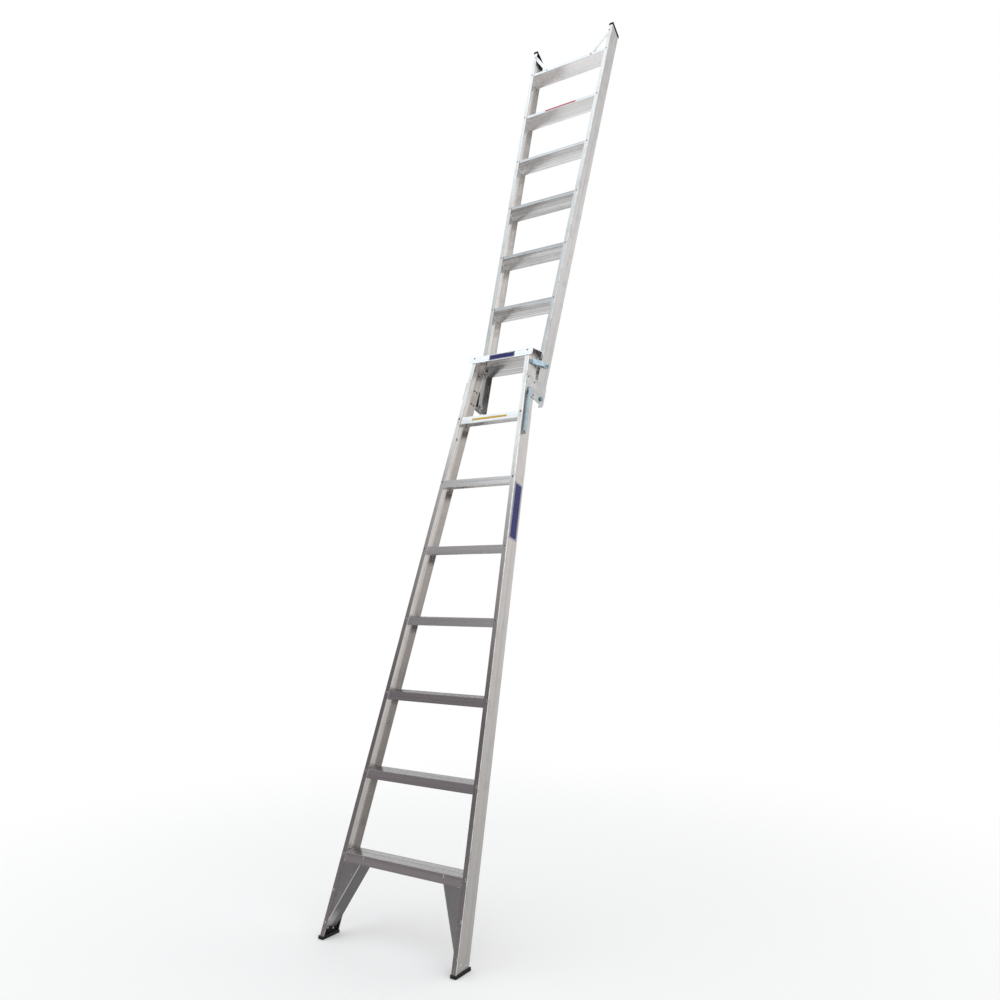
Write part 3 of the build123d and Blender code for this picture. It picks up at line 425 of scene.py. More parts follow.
# %% Handling group
PATCH_SIZE, PATCH_NOISE, PATCH_CUT = 14.0, (5.0, 0.62), (0.46, 0.72)
SCUFF_SIZE, SCUFF_NOISE, SCUFF_CUT = 60.0, (3.0, 0.7, 0.4), (0.66, 0.76)
SCUFF_SHAPE = (1.0, 14.0, 0.9)

handling, hand_in, hand_out = new_group(
    "handling_marks", {"Patch Size": PATCH_SIZE, "Scuff Size": SCUFF_SIZE}, ("Patches", "Scuffs")
)
hand_cloud = noise(handling, (hand_in, "Vector"), (hand_in, "Patch Size"), *PATCH_NOISE)
hand_thin = stretch(handling, (hand_in, "Vector"), SCUFF_SHAPE)
hand_lines = noise(handling, hand_thin, (hand_in, "Scuff Size"), *SCUFF_NOISE)
hand_patches = remap(handling, hand_cloud, PATCH_CUT, smooth=True)
hand_scuffs = remap(handling, hand_lines, SCUFF_CUT, smooth=True)
plug(handling, hand_out, {"Patches": hand_patches, "Scuffs": hand_scuffs})
print("group:", handling.name)

# %% [markdown]
# ## Shared effect: worn corners
# The long outer corners of a stile and the top corners of a tread are rubbed bright. In the piece's
# own axes such a corner is a straight line, so its wear is simply the distance from that line,
# broken up with a little noise. The same sum gives the front and the rear corner at once, because it
# takes the depth from the middle without its sign.

# %% Worn corner group
WEAR_REACH, WEAR_NOISE = 0.003, (45.0, 4.0, 0.6)
WEAR_CUT, WEAR_SPAN = (0.3, 0.7), (0.3, 1.5)
WEAR_FADE = (0.3, 1.0)

worn, worn_in, worn_out = new_group(
    "worn_corners", {"Half Depth": STILE_DEPTH / 2, "Reach": WEAR_REACH}, ("Wear",)
)
worn_x, worn_y, _ = parts(worn, (worn_in, "Vector"))
worn_behind = reckon(worn, "SUBTRACT", reckon(worn, "ABSOLUTE", worn_y), (worn_in, "Half Depth"))
worn_pair = put(worn, "ShaderNodeCombineXYZ", {0: worn_x, 1: worn_behind, 2: 0.0})
worn_away = put(worn, "ShaderNodeVectorMath", {0: (worn_pair, "Vector")}, operation="LENGTH")
worn_noise = noise(worn, (worn_in, "Vector"), *WEAR_NOISE)
worn_edge = reckon(worn, "MULTIPLY", (worn_in, "Reach"), remap(worn, worn_noise, WEAR_CUT, WEAR_SPAN))
worn_share = reckon(worn, "DIVIDE", (worn_away, "Value"), worn_edge)
plug(worn, worn_out, {"Wear": remap(worn, worn_share, WEAR_FADE, (1.0, 0.0), smooth=True)})
print("group:", worn.name)

# %% [markdown]
# ## Shared effect: the faces of a stile
# Each face of a stile gets a gain of its own, which is painted light: it makes the face lighter or
# darker for how the light falls on it. The flanges and the inside of the channel are polished, and the
# outer web is dull. The inner face of the rear flange is called the lining here. Under the top cap the
# web is darkened with a painted shadow of the cap, and the inside of the rear stiles' heels with
# painted shade. In the stile's own axes each face is a plain range, so a few comparisons find it.
# Each face has one gain at the stile's low end and one at its high end.

# %% Stile faces group
INSIDE_X, INSIDE_Y = 0.0088, 0.0350
LINING_Y, FLANGE_Y = 0.0332, 0.0363
NO_CAP_SHADOW, NO_HEEL_SHADE = 9.0, -1.0
FACES, ENDS = ("Flange", "Inside", "Lining"), ("Low", "High")


def face_inputs(gains):
    """The gains of each face at the low and the high end, as inputs of the group."""
    return {f"{face} {end}": gain for face, pair in gains.items() for end, gain in zip(ENDS, pair)}


plain_gains = face_inputs({face: (1.0, 1.0) for face in ("Web", *FACES)})
faces, faces_in, faces_out = new_group(
    "stile_face_light", {**plain_gains, "Cap Shadow Height": NO_CAP_SHADOW, "Heel Shade Height": NO_HEEL_SHADE}, ("Polish", "Gain")
)
faces_x, faces_y, faces_z = parts(faces, (faces_in, "Vector"))
faces_depth = reckon(faces, "ABSOLUTE", faces_y)
faces_inside = reckon(
    faces,
    "MULTIPLY",
    reckon(faces, "LESS_THAN", reckon(faces, "ABSOLUTE", faces_x), INSIDE_X),
    reckon(faces, "LESS_THAN", faces_depth, INSIDE_Y),
)
faces_rear = reckon(faces, "GREATER_THAN", faces_y, LINING_Y)
faces_masks = {
    "Flange": reckon(faces, "GREATER_THAN", faces_depth, FLANGE_Y),
    "Inside": faces_inside,
    "Lining": reckon(faces, "MULTIPLY", faces_inside, faces_rear),
}
print("face masks:", *faces_masks)

# %% Stile face gains
GAIN_FADE = (0.4, 2.1)
CAP_FADE, CAP_SHADE = (0.0, 0.042), 0.22
HEEL_FADE, HEEL_SHADE = (0.0, 0.06), 0.5

# Painted light: each face's gain moves from its low to its high value up the stile.
faces_up = remap(faces, faces_z, GAIN_FADE, smooth=True)


def face_gain(face):
    """A face's gain at this height, between its low and its high gain."""
    return between(faces, faces_up, (faces_in, f"{face} Low"), (faces_in, f"{face} High"))


# Painted shadow of the top cap: the web darkens just below the cap's slanted underside.
faces_slant = reckon(faces, "MULTIPLY", faces_y, math.tan(LEAN))
faces_below = reckon(faces, "SUBTRACT", (faces_in, "Cap Shadow Height"), faces_z)
faces_below = reckon(faces, "ADD", faces_below, faces_slant)
faces_shade = remap(faces, faces_below, CAP_FADE, (CAP_SHADE, 1.0), smooth=True)
faces_gain = reckon(faces, "MULTIPLY", face_gain("Web"), faces_shade)
for face in FACES:
    faces_gain = between(faces, faces_masks[face], faces_gain, face_gain(face))
# Painted shade in the heels: the inside of the channel darkens below the heel height.
faces_over = reckon(faces, "SUBTRACT", faces_z, (faces_in, "Heel Shade Height"))
faces_heel_shade = remap(faces, faces_over, HEEL_FADE, (HEEL_SHADE, 1.0), smooth=True)
faces_dark = reckon(faces, "MULTIPLY", faces_gain, faces_heel_shade)
faces_gain = between(faces, faces_inside, faces_gain, faces_dark)
faces_polish = reckon(faces, "MAXIMUM", faces_inside, faces_masks["Flange"])
plug(faces, faces_out, {"Polish": faces_polish, "Gain": faces_gain})
print("group:", faces.name)

# %% [markdown]
# ## Shared effect: the front lip of a tread
# The front lip of a tread gets a gain of its own, which is painted light: it makes the lip lighter
# or darker than the rest for how the light falls on it. In the tread's own axes the lip is
# everything at the front of its depth, so one comparison finds it.

# %% Tread lip group
LIP_SKIN = 0.0006
TREAD_DEPTH = STILE_DEPTH - 2 * STILE_WALL

lips, lips_in, lips_out = new_group("tread_lip_light", {"Half Depth": TREAD_DEPTH / 2, "Lip": 1.0}, ("Gain",))
_, lips_y, _ = parts(lips, (lips_in, "Vector"))
lips_ahead = reckon(lips, "ADD", lips_y, (lips_in, "Half Depth"))
lips_front = reckon(lips, "LESS_THAN", lips_ahead, LIP_SKIN)
# The lip's gain is painted light.
plug(lips, lips_out, {"Gain": between(lips, lips_front, 1.0, (lips_in, "Lip"))})
print("group:", lips.name)

# %% [markdown]
# ## Shared effect: fine grain
# Moulded rubber, moulded plastic and plated steel all have a fine, even grain. One noise gives its
# height, and a second, larger one gives the slow change of tone that keeps a surface from looking
# like a single flat colour.

# %% Grain group
GRAIN_SIZE, GRAIN_NOISE = 1500.0, (2.0, 0.5)
CLOUD_SIZE, CLOUD_NOISE, CLOUD_CUT = 30.0, (4.0, 0.55), (0.32, 0.68)

grain, grain_in, grain_out = new_group(
    "fine_grain", {"Grain Size": GRAIN_SIZE, "Cloud Size": CLOUD_SIZE}, ("Height", "Cloud")
)
grain_height = noise(grain, (grain_in, "Vector"), (grain_in, "Grain Size"), *GRAIN_NOISE)
grain_cloud = noise(grain, (grain_in, "Vector"), (grain_in, "Cloud Size"), *CLOUD_NOISE)
plug(grain, grain_out, {"Height": grain_height, "Cloud": remap(grain, grain_cloud, CLOUD_CUT)})
print("group:", grain.name)

# %% [markdown]
# ## Mill aluminium for the profiles
# The stiles and treads are bare aluminium as it leaves the die: a light grey metal, a little darker
# and duller in some bands than in others, with bright rubbed corners and dull hand marks. The
# function below builds that metal from the shared groups. What differs from piece to piece is the
# direction of the profile, the place of its worn corners and the gains of its faces or its lip,
# which are painted light.

# %% Finish helpers
def new_finish(name):
    """A material with one Principled shader at its output."""
    finish, tree = blank_material(name)
    shader = put(tree, "ShaderNodeBsdfPrincipled")
    put(tree, "ShaderNodeOutputMaterial", {"Surface": (shader, "BSDF")})
    return finish, tree, shader


def own_axes(tree, place, turn):
    """Object coordinates seen from a piece's own origin and along its own axes."""
    coordinates = put(tree, "ShaderNodeTexCoord")
    settings = {"Vector": (coordinates, "Object"), "Location": place, "Rotation": turn}
    return put(tree, "ShaderNodeMapping", settings, vector_type="TEXTURE"), "Vector"


def use_group(tree, group, inputs):
    """A group placed in a material with its own values."""
    return put(tree, "ShaderNodeGroup", inputs, node_tree=group)


def brighten(tree, colour, gain):
    """A colour times a gain."""
    return put(tree, "ShaderNodeVectorMath", {0: colour, "Scale": gain}, operation="SCALE"), "Vector"


def bumped(tree, height, strength, distance):
    """A normal that follows a height."""
    settings = {"Strength": strength, "Distance": distance, "Height": height}
    return put(tree, "ShaderNodeBump", settings), "Normal"


print("finish helpers ready")

# %% Aluminium finish
METAL_DULL, METAL_BRIGHT = (0.36, 0.35, 0.34), (0.82, 0.82, 0.82)
PROFILE_SCUFFS = 0.6
LINE_DULL, LINE_SHINE = 0.06, 0.05
PATCH_DULL, RUBBED_SHINE, POLISH_SHINE = 0.4, 0.10, 0.10
LINE_BUMP = (0.14, 0.0003)


def aluminium(
    name, tones, rough, patchy, run, corner, half_depth, gains=None, lip=None, band=LINE_BAND
):
    """Bare profile: tone and roughness follow the die lines, dull patches, scuffs and corners."""
    finish, tree, shader = new_finish(name)
    run, corner = own_axes(tree, *run), own_axes(tree, *corner)
    lines = use_group(tree, die_lines, {"Vector": run, "Broad": band})
    marks = use_group(tree, handling, {"Vector": run})
    wear = use_group(tree, worn, {"Vector": corner, "Half Depth": half_depth})
    dull = reckon(tree, "MULTIPLY", (marks, "Patches"), patchy)
    scuffed = reckon(tree, "MULTIPLY", (marks, "Scuffs"), PROFILE_SCUFFS)
    rubbed = reckon(tree, "MAXIMUM", (wear, "Wear"), scuffed)
    metal = blend_colour(tree, (lines, "Tone"), *tones)
    metal = blend_colour(tree, dull, metal, METAL_DULL)
    metal = blend_colour(tree, rubbed, metal, METAL_BRIGHT)
    gloss = remap(tree, (lines, "Tone"), (0.0, 1.0), (rough + LINE_DULL, rough - LINE_SHINE))
    gloss = reckon(tree, "ADD", gloss, reckon(tree, "MULTIPLY", dull, PATCH_DULL))
    gloss = reckon(tree, "SUBTRACT", gloss, reckon(tree, "MULTIPLY", rubbed, RUBBED_SHINE))
    # Painted light: the face and lip gains make a face lighter or darker for how the light falls on it.
    if gains is not None:
        face = use_group(tree, faces, {"Vector": run, **gains})
        metal = brighten(tree, metal, (face, "Gain"))
        polished = reckon(tree, "MULTIPLY", (face, "Polish"), POLISH_SHINE)
        gloss = reckon(tree, "SUBTRACT", gloss, polished)
    if lip is not None:
        front = use_group(tree, lips, {"Vector": corner, "Half Depth": half_depth, "Lip": lip})
        metal = brighten(tree, metal, (front, "Gain"))
    plug(tree, shader, {"Base Color": metal, "Roughness": gloss, "Metallic": 1.0})
    plug(tree, shader, {"Normal": bumped(tree, (lines, "Height"), *LINE_BUMP)})
    return finish


print("aluminium ready")

# %% [markdown]
# ## Stiles
# A stile's metal needs two sets of axes: one through the middle of the channel, for its lines and
# its faces, and one along its outer edge, for its worn corners. Both follow its taper and its lean.
# Each section has its own tones and face gains, which are painted light: the upper stiles are a
# little paler, and each face is lighter or darker for how the light falls on it.

# %% Stile finishes
STILE_ROUGH, STILE_PATCHY = 0.32, 0.26
# Painted light: the upper stiles are a little paler, and each face gain lightens or darkens a face.
LOWER_STILE_TONES = [(0.415, 0.395, 0.381), (0.595, 0.574, 0.558)]
UPPER_STILE_TONES = [(0.43, 0.417, 0.408), (0.615, 0.603, 0.593)]
LOWER_FACE_LIGHT = face_inputs(
    {"Inside": (0.95, 1.25), "Lining": (0.82, 1.35), "Flange": (1.12, 1.45), "Web": (0.80, 1.22)}
)
UPPER_FACE_LIGHT = face_inputs(
    {"Inside": (1.30, 1.02), "Lining": (1.60, 1.20), "Flange": (0.86, 1.50), "Web": (1.00, 0.86)}
)
LOWER_FACE_LIGHT["Cap Shadow Height"] = CAP_EDGE + STILE_DEPTH / 2 * math.tan(LEAN)
UPPER_FACE_LIGHT["Heel Shade Height"] = 0.20
# Section, tones and gains, then the half width, the tilt, the depth and the height where it starts.
STILE_ROWS = (
    ("lower", LOWER_STILE_TONES, LOWER_FACE_LIGHT, BASE_HALF, -lower_tilt, 0.0, 0.0),
    ("upper", UPPER_STILE_TONES, UPPER_FACE_LIGHT, HINGE_HALF, upper_tilt, UPPER_FRONT, PIVOT_HEIGHT),
)


def stile_finish(name, tones, gains, side, half, tilt, depth, height):
    """The metal along one stile: worn at its outer corners, its middle half a flange further in."""
    axes = leaning_axes(side * tilt)
    across = np.array(axes.col[0])
    outer = on_ladder(side * half, depth + STILE_DEPTH / 2, height)
    middle = outer - side * STILE_FLANGE / 2 * across
    run, corner = (middle.tolist(), angles(axes)), (outer.tolist(), angles(axes))
    return aluminium(name, tones, STILE_ROUGH, STILE_PATCHY, run, corner, STILE_DEPTH / 2, gains=gains)


profile_finishes = {}
for side, side_name in ((1, "right"), (-1, "left")):
    for section, tones, gains, *place in STILE_ROWS:
        finish = stile_finish(f"stile_metal_{section}_{side_name}", tones, gains, side, *place)
        profile_finishes[f"{section}_stile_{side_name}"] = finish
print("stile finishes:", len(profile_finishes))

# %% [markdown]
# ## Treads and top cap
# The treads are the same metal, but their profile runs across the ladder, so the die lines run
# along X. Each tread is a piece of its own with its own front corner, which boots rub bright. A
# finish for each tread lets that worn line sit exactly on its corner. Lifts, lips and spreads are
# listed from the lowest tread to the highest: how pale its metal is and how pale its lip is beside
# the rest, both painted light for how the light falls at its height, and how far its lines stand out.

# %% Tread finishes
ACROSS, CORNER_ACROSS = (0.0, math.pi / 2, 0.0), angles(leaning_axes(math.pi / 2))
TREAD_ROUGH, TREAD_PATCHY = 0.20, 0.12
TREAD_DARK, TREAD_PALE = np.array([0.525, 0.517, 0.514]), np.array([0.795, 0.788, 0.785])
LINE_START = (0.37, 0.11, 0.0)
# Painted light: each tread's lift and lip gain, and the cap's, stand in for the light at its height.
LOWER_LIGHT_LIFTS = (0.79, 0.81, 0.86, 1.00, 1.00, 1.00, 1.08)
LOWER_LIP_LIGHT = (1.40, 1.34, 1.26, 1.22, 1.07, 1.08, 1.06)
UPPER_LIGHT_LIFTS = (0.85, 0.93, 0.93, 0.93, 1.20, 1.28, 1.36)
UPPER_LIP_LIGHT = (1.00, 0.59, 0.62, 0.80, 0.70, 0.88, 0.84)
UPPER_SPREADS = (1.35, 1.35, 1.35, 1.35, 0.90, 0.50, 0.50)
CAP_LIGHT_LIFT, CAP_LIP_LIGHT = 1.14, 1.05
UPPER_BAND = 70.0
UPPER_STEP = 0.008

lower_edges = PITCH * np.arange(1, len(LOWER_LIGHT_LIFTS) + 1)
upper_edges = CAP_EDGE + UPPER_STEP + PITCH * np.arange(len(UPPER_LIGHT_LIFTS))


def tread_finish(name, depth, edge, number, lift, lip, spread=1.0, band=LINE_BAND):
    """Tread metal: lines across the ladder, and wear along the front and rear top corners."""
    middle_tone, half_tone = (TREAD_PALE + TREAD_DARK) / 2, (TREAD_PALE - TREAD_DARK) / 2
    # Painted light: the lift scales the tread's whole tone.
    tones = [lift * (middle_tone + way * spread * half_tone) for way in (-1, 1)]
    run = tuple(number * step for step in LINE_START), ACROSS
    corner = on_ladder(0.0, depth + STILE_DEPTH / 2, edge).tolist(), CORNER_ACROSS
    shape = run, corner, TREAD_DEPTH / 2
    return aluminium(name, tones, TREAD_ROUGH, TREAD_PATCHY, *shape, lip=lip, band=band)


for number, (edge, *looks) in enumerate(zip(lower_edges, LOWER_LIGHT_LIFTS, LOWER_LIP_LIGHT), start=1):
    finish = tread_finish(f"tread_metal_lower_{number}", 0.0, edge, number, *looks)
    profile_finishes[f"lower_tread_{number}"] = finish
upper_rows = zip(upper_edges, UPPER_LIGHT_LIFTS, UPPER_LIP_LIGHT, UPPER_SPREADS)
for number, (edge, *looks) in enumerate(upper_rows, start=1):
    place = UPPER_FRONT, edge, number + len(lower_edges)
    finish = tread_finish(f"tread_metal_upper_{number}", *place, *looks, band=UPPER_BAND)
    profile_finishes[f"upper_tread_{number}"] = finish
cap_number = len(lower_edges) + len(upper_edges) + 1
cap_finish = tread_finish("cap_metal", -STILE_WALL, CAP_EDGE, cap_number, CAP_LIGHT_LIFT, CAP_LIP_LIGHT)
profile_finishes["top_cap"] = cap_finish
print("profile finishes with treads and cap:", len(profile_finishes))

# %% [markdown]
# ## Pressed sheet
# The bottom gussets and the braces at the tips are cut from rolled sheet. It has a faint grain and
# the same hand marks, but no die lines. A gusset's web goes back from its bend, close to the ground.
# The bend carries a painted highlight, and the web is darkened with painted shade. Its depth behind
# the front of the ladder tells the three apart. Just above the foot the front of the web is painted
# lighter.

# %% Plated metal
ALONG_LADDER = (-LEAN, 0.0, 0.0)
ORIGIN = (0.0, 0.0, 0.0)
PLATED_MARKS = (38.0, 22.0, 80.0)
PLATED_SCUFFS, PLATED_DULL = 0.5, 0.10
PLATED_BUMP = (0.18, 0.0003)
# Painted highlight at the bend and painted shade on the web: their tones and depths.
WEB_LOW_TONE, WEB_LOW_HEIGHT, WEB_LOW_DEPTH = (0.46, 0.45, 0.45), (0.065, 0.115), (0.022, 0.050)
BEND_HIGHLIGHT_DEPTH = (STILE_WALL + 0.0002, STILE_WALL + 0.0005)
WEB_DEPTH = (STILE_WALL + 0.0025, STILE_WALL + 0.0040)


def marked(tree, run, grain_size, cloud_size, patch_size, scuff_size):
    """The grain and the handling marks of one surface, at their own sizes."""
    fine = {"Vector": run, "Grain Size": grain_size, "Cloud Size": cloud_size}
    coarse = {"Vector": run, "Patch Size": patch_size, "Scuff Size": scuff_size}
    return use_group(tree, grain, fine), use_group(tree, handling, coarse)


def gusset_web(tree, run, metal, web_shade):
    """A gusset's metal by depth: plain, then a painted highlight at the bend, then painted shade on the
    web, lighter low down at the front.
    """
    _, behind, up = parts(tree, run)
    # Painted highlight along the bend and painted shade on the web behind it.
    bend_highlight, web = remap(tree, behind, BEND_HIGHLIGHT_DEPTH), remap(tree, behind, WEB_DEPTH)
    low = remap(tree, up, WEB_LOW_HEIGHT, (1.0, 0.0), smooth=True)
    near = remap(tree, behind, WEB_LOW_DEPTH, (1.0, 0.0), smooth=True)
    web_shade = blend_colour(tree, reckon(tree, "MULTIPLY", low, near), web_shade, WEB_LOW_TONE)
    return blend_colour(tree, web, blend_colour(tree, bend_highlight, metal, METAL_BRIGHT), web_shade)


def plated(name, tones, rough, spread, grain_size, dull, web_shade=None):
    """Sheet or plated metal: cloudy tone, slightly uneven gloss and a fine grain."""
    finish, tree, shader = new_finish(name)
    run = own_axes(tree, ORIGIN, ALONG_LADDER)
    texture, marks = marked(tree, run, grain_size, *PLATED_MARKS)
    dulled = reckon(tree, "MULTIPLY", (marks, "Patches"), dull)
    scuffed = reckon(tree, "MULTIPLY", (marks, "Scuffs"), PLATED_SCUFFS)
    metal = blend_colour(tree, (texture, "Cloud"), tones[0], tones[1])
    metal = blend_colour(tree, dulled, metal, tones[2])
    metal = blend_colour(tree, scuffed, metal, METAL_BRIGHT)
    if web_shade is not None:
        metal = gusset_web(tree, run, metal, web_shade)
    gloss = remap(tree, (texture, "Cloud"), (0.0, 1.0), (rough + spread, rough - spread))
    gloss = reckon(tree, "ADD", gloss, reckon(tree, "MULTIPLY", (marks, "Patches"), PLATED_DULL))
    plug(tree, shader, {"Base Color": metal, "Roughness": gloss, "Metallic": 1.0})
    plug(tree, shader, {"Normal": bumped(tree, (texture, "Height"), *PLATED_BUMP)})
    return finish


print("plated metal ready")

# %% Sheet finishes
BRACE_TONES = [(0.80, 0.80, 0.80), (0.92, 0.92, 0.92), (0.60, 0.60, 0.60)]
SHEET_TONES = [(0.355, 0.35, 0.35), (0.445, 0.44, 0.44), (0.28, 0.275, 0.27)]
# Painted shade on the gusset webs.
GUSSET_WEB_SHADE = (0.165, 0.160, 0.160)
SHEET_FEEL = {"spread": 0.05, "grain_size": 900.0}
brace_sheet = plated("brace_sheet", BRACE_TONES, rough=0.34, dull=0.20, **SHEET_FEEL)
gusset_sheet = plated("gusset_sheet", SHEET_TONES, rough=0.40, dull=0.45, web_shade=GUSSET_WEB_SHADE, **SHEET_FEEL)
print("finishes:", brace_sheet.name, gusset_sheet.name)

# %% [markdown]
# ## Zinc-plated steel and rivets
# The hinge plates are bright plated steel. The hooks and arms carry a clear blue passivation that
# shows as a pale blue cast, and on the hinge bolts it is thick and dark. The blind rivets are duller
# than the sheet around them, and darkest in the hinge plates and on the lower treads. The steel pins
# in their heads are nearly black, which partly paints the shade of the hollow in each head as a small
# dark dot. Rivets and pins high up are paler than those low down.

# %% Zinc and rivet finishes
ZINC_GRAIN, RIVET_GRAIN = 1400.0, 2200.0
STEEL_TONES = {
    "plate_zinc": [(0.48, 0.485, 0.49), (0.58, 0.58, 0.58), (0.40, 0.40, 0.39)],
    "hook_zinc": [(0.45, 0.60, 0.70), (0.56, 0.72, 0.82), (0.41, 0.49, 0.53)],
    "arm_zinc": [(0.33, 0.45, 0.52), (0.42, 0.55, 0.62), (0.31, 0.37, 0.40)],
    "bolt_zinc": [(0.17, 0.27, 0.30), (0.27, 0.40, 0.43), (0.13, 0.16, 0.175)],
    "rivet_grey": [(0.40, 0.405, 0.41), (0.54, 0.545, 0.55), (0.24, 0.235, 0.23)],
    "rivet_pale": [(0.56, 0.565, 0.57), (0.69, 0.695, 0.70), (0.40, 0.395, 0.39)],
    "tread_rivet": [(0.31, 0.315, 0.32), (0.42, 0.425, 0.43), (0.19, 0.185, 0.18)],
    "plate_rivet": [(0.13, 0.13, 0.13), (0.20, 0.20, 0.20), (0.09, 0.09, 0.09)],
    "pin_pale": [(0.25, 0.25, 0.255), (0.34, 0.34, 0.345), (0.18, 0.18, 0.18)],
    # Nearly black pin: partly painted shade of the hollow in the rivet head.
    "pin_steel_shade": [(0.045, 0.045, 0.047), (0.085, 0.085, 0.088), (0.03, 0.03, 0.03)],
}
# How rough, how uneven, the size of the grain, and how far hands have dulled it.
STEEL_FEEL = {
    "plate_zinc": (0.36, 0.06, ZINC_GRAIN, 0.35),
    "hook_zinc": (0.33, 0.06, ZINC_GRAIN, 0.30),
    "arm_zinc": (0.33, 0.06, ZINC_GRAIN, 0.30),
    "bolt_zinc": (0.34, 0.05, ZINC_GRAIN, 0.3),
    "rivet_grey": (0.42, 0.05, RIVET_GRAIN, 0.5),
    "rivet_pale": (0.42, 0.05, RIVET_GRAIN, 0.4),
    "tread_rivet": (0.42, 0.05, RIVET_GRAIN, 0.5),
    "plate_rivet": (0.42, 0.05, RIVET_GRAIN, 0.4),
    "pin_pale": (0.45, 0.05, RIVET_GRAIN, 0.3),
    "pin_steel_shade": (0.48, 0.05, RIVET_GRAIN, 0.3),
}
steel = {name: plated(name, tones, *STEEL_FEEL[name]) for name, tones in STEEL_TONES.items()}
print("finishes:", *steel)

# %% [markdown]
# ## Rubber feet and plastic tips
# Both are black and moulded. The rubber is matt and picks up floor dust, the plastic at the tips is
# a little smoother. Neither is ever pure black: dust and rubbing lift the tone in patches. The stop
# buffers behind the hinge are a grey rubber that doesn't mark the metal.

# %% Mouldings
MOULDED_MARKS = (60.0, 45.0, 140.0)
CLOUD_DUST, SCUFF_DUST = 0.3, 0.6
DUST_SPAN, DUST_DULL = (0.0, 0.6), 0.18
MOULDED_BUMP = (0.35, 0.0004)


def moulding(name, base, dusty, rough, grain_size, dust, shine):
    """Moulded rubber or plastic: a grain in the height, dust in patches that also dulls the gloss."""
    finish, tree, shader = new_finish(name)
    texture, marks = marked(tree, own_axes(tree, ORIGIN, ORIGIN), grain_size, *MOULDED_MARKS)
    share = reckon(tree, "MULTIPLY", (marks, "Patches"), dust)
    share = reckon(tree, "ADD", share, reckon(tree, "MULTIPLY", (texture, "Cloud"), dust * CLOUD_DUST))
    share = reckon(tree, "ADD", share, reckon(tree, "MULTIPLY", (marks, "Scuffs"), dust * SCUFF_DUST))
    gloss = remap(tree, share, DUST_SPAN, (rough, rough + DUST_DULL))
    plug(tree, shader, {"Base Color": blend_colour(tree, share, base, dusty), "Roughness": gloss})
    plug(tree, shader, {"Normal": bumped(tree, (texture, "Height"), *MOULDED_BUMP)})
    plug(tree, shader, {"Specular IOR Level": shine})
    return finish


RUBBER, RUBBER_DUST = (0.009, 0.009, 0.009), (0.075, 0.071, 0.067)
PLASTIC, PLASTIC_DUST = (0.003, 0.003, 0.0033), (0.022, 0.022, 0.023)
BUFFER, BUFFER_DUST = (0.40, 0.39, 0.385), (0.49, 0.48, 0.47)
RUBBER_FEEL = {"rough": 0.62, "grain_size": 1100.0, "dust": 0.34, "shine": 0.22}
PLASTIC_FEEL = {"rough": 0.46, "grain_size": 1800.0, "dust": 0.28, "shine": 0.06}
foot_rubber = moulding("foot_rubber", RUBBER, RUBBER_DUST, **RUBBER_FEEL)
tip_plastic = moulding("tip_plastic", PLASTIC, PLASTIC_DUST, **PLASTIC_FEEL)
buffer_rubber = moulding("buffer_rubber", BUFFER, BUFFER_DUST, **RUBBER_FEEL)
print("finishes:", foot_rubber.name, tip_plastic.name, buffer_rubber.name)

# %% [markdown]
# ## Plain films
# Two navy panels and two coloured strips are printed film. The panels stay plain: a navy field with
# one thin pale line set in from the edge. In the panel's own axes that line is a band of distance
# from the outline, so a small group can draw it on both panels.

# %% Inset line group
CAP_LINE = {"Half Width": 0.066, "Half Height": 0.0135, "Inset": 0.0022, "Thickness": 0.0010}
SIDE_LINE = {"Half Width": 0.121, "Half Height": 0.027, "Inset": 0.0036, "Thickness": 0.0016}

inset, inset_in, inset_out = new_group("inset_line", CAP_LINE, ("Line",))
inset_x, inset_y, _ = parts(inset, (inset_in, "Vector"))
inset_side = reckon(inset, "SUBTRACT", (inset_in, "Half Width"), reckon(inset, "ABSOLUTE", inset_x))
inset_end = reckon(inset, "SUBTRACT", (inset_in, "Half Height"), reckon(inset, "ABSOLUTE", inset_y))
inset_depth = reckon(inset, "MINIMUM", inset_side, inset_end)
inset_off = reckon(inset, "ABSOLUTE", reckon(inset, "SUBTRACT", inset_depth, (inset_in, "Inset")))
inset_half = reckon(inset, "MULTIPLY", (inset_in, "Thickness"), 0.5)
plug(inset, inset_out, {"Line": reckon(inset, "LESS_THAN", inset_off, inset_half)})
print("group:", inset.name)

# %% [markdown]
# ## Film on the ladder
# Film is ink under a thin clear layer: even in colour, with fine scratches and dull patches where
# hands go. Each panel's line needs the panel's own axes, and those come from the ladder's
# directions: up and across for the cap, up and back for the stile.

# %% Film
FILM_GRAIN, FILM_MARKS = 2600.0, (70.0, 60.0, 160.0)
FILM_SCUFFS, FILM_DULL, FILM_SHINE = 0.35, 0.2, 0.2
FILM_BUMP = (0.1, 0.0002)
LINE_TONE, SCRATCH_TONE = (0.82, 0.82, 0.82), (0.62, 0.62, 0.62)


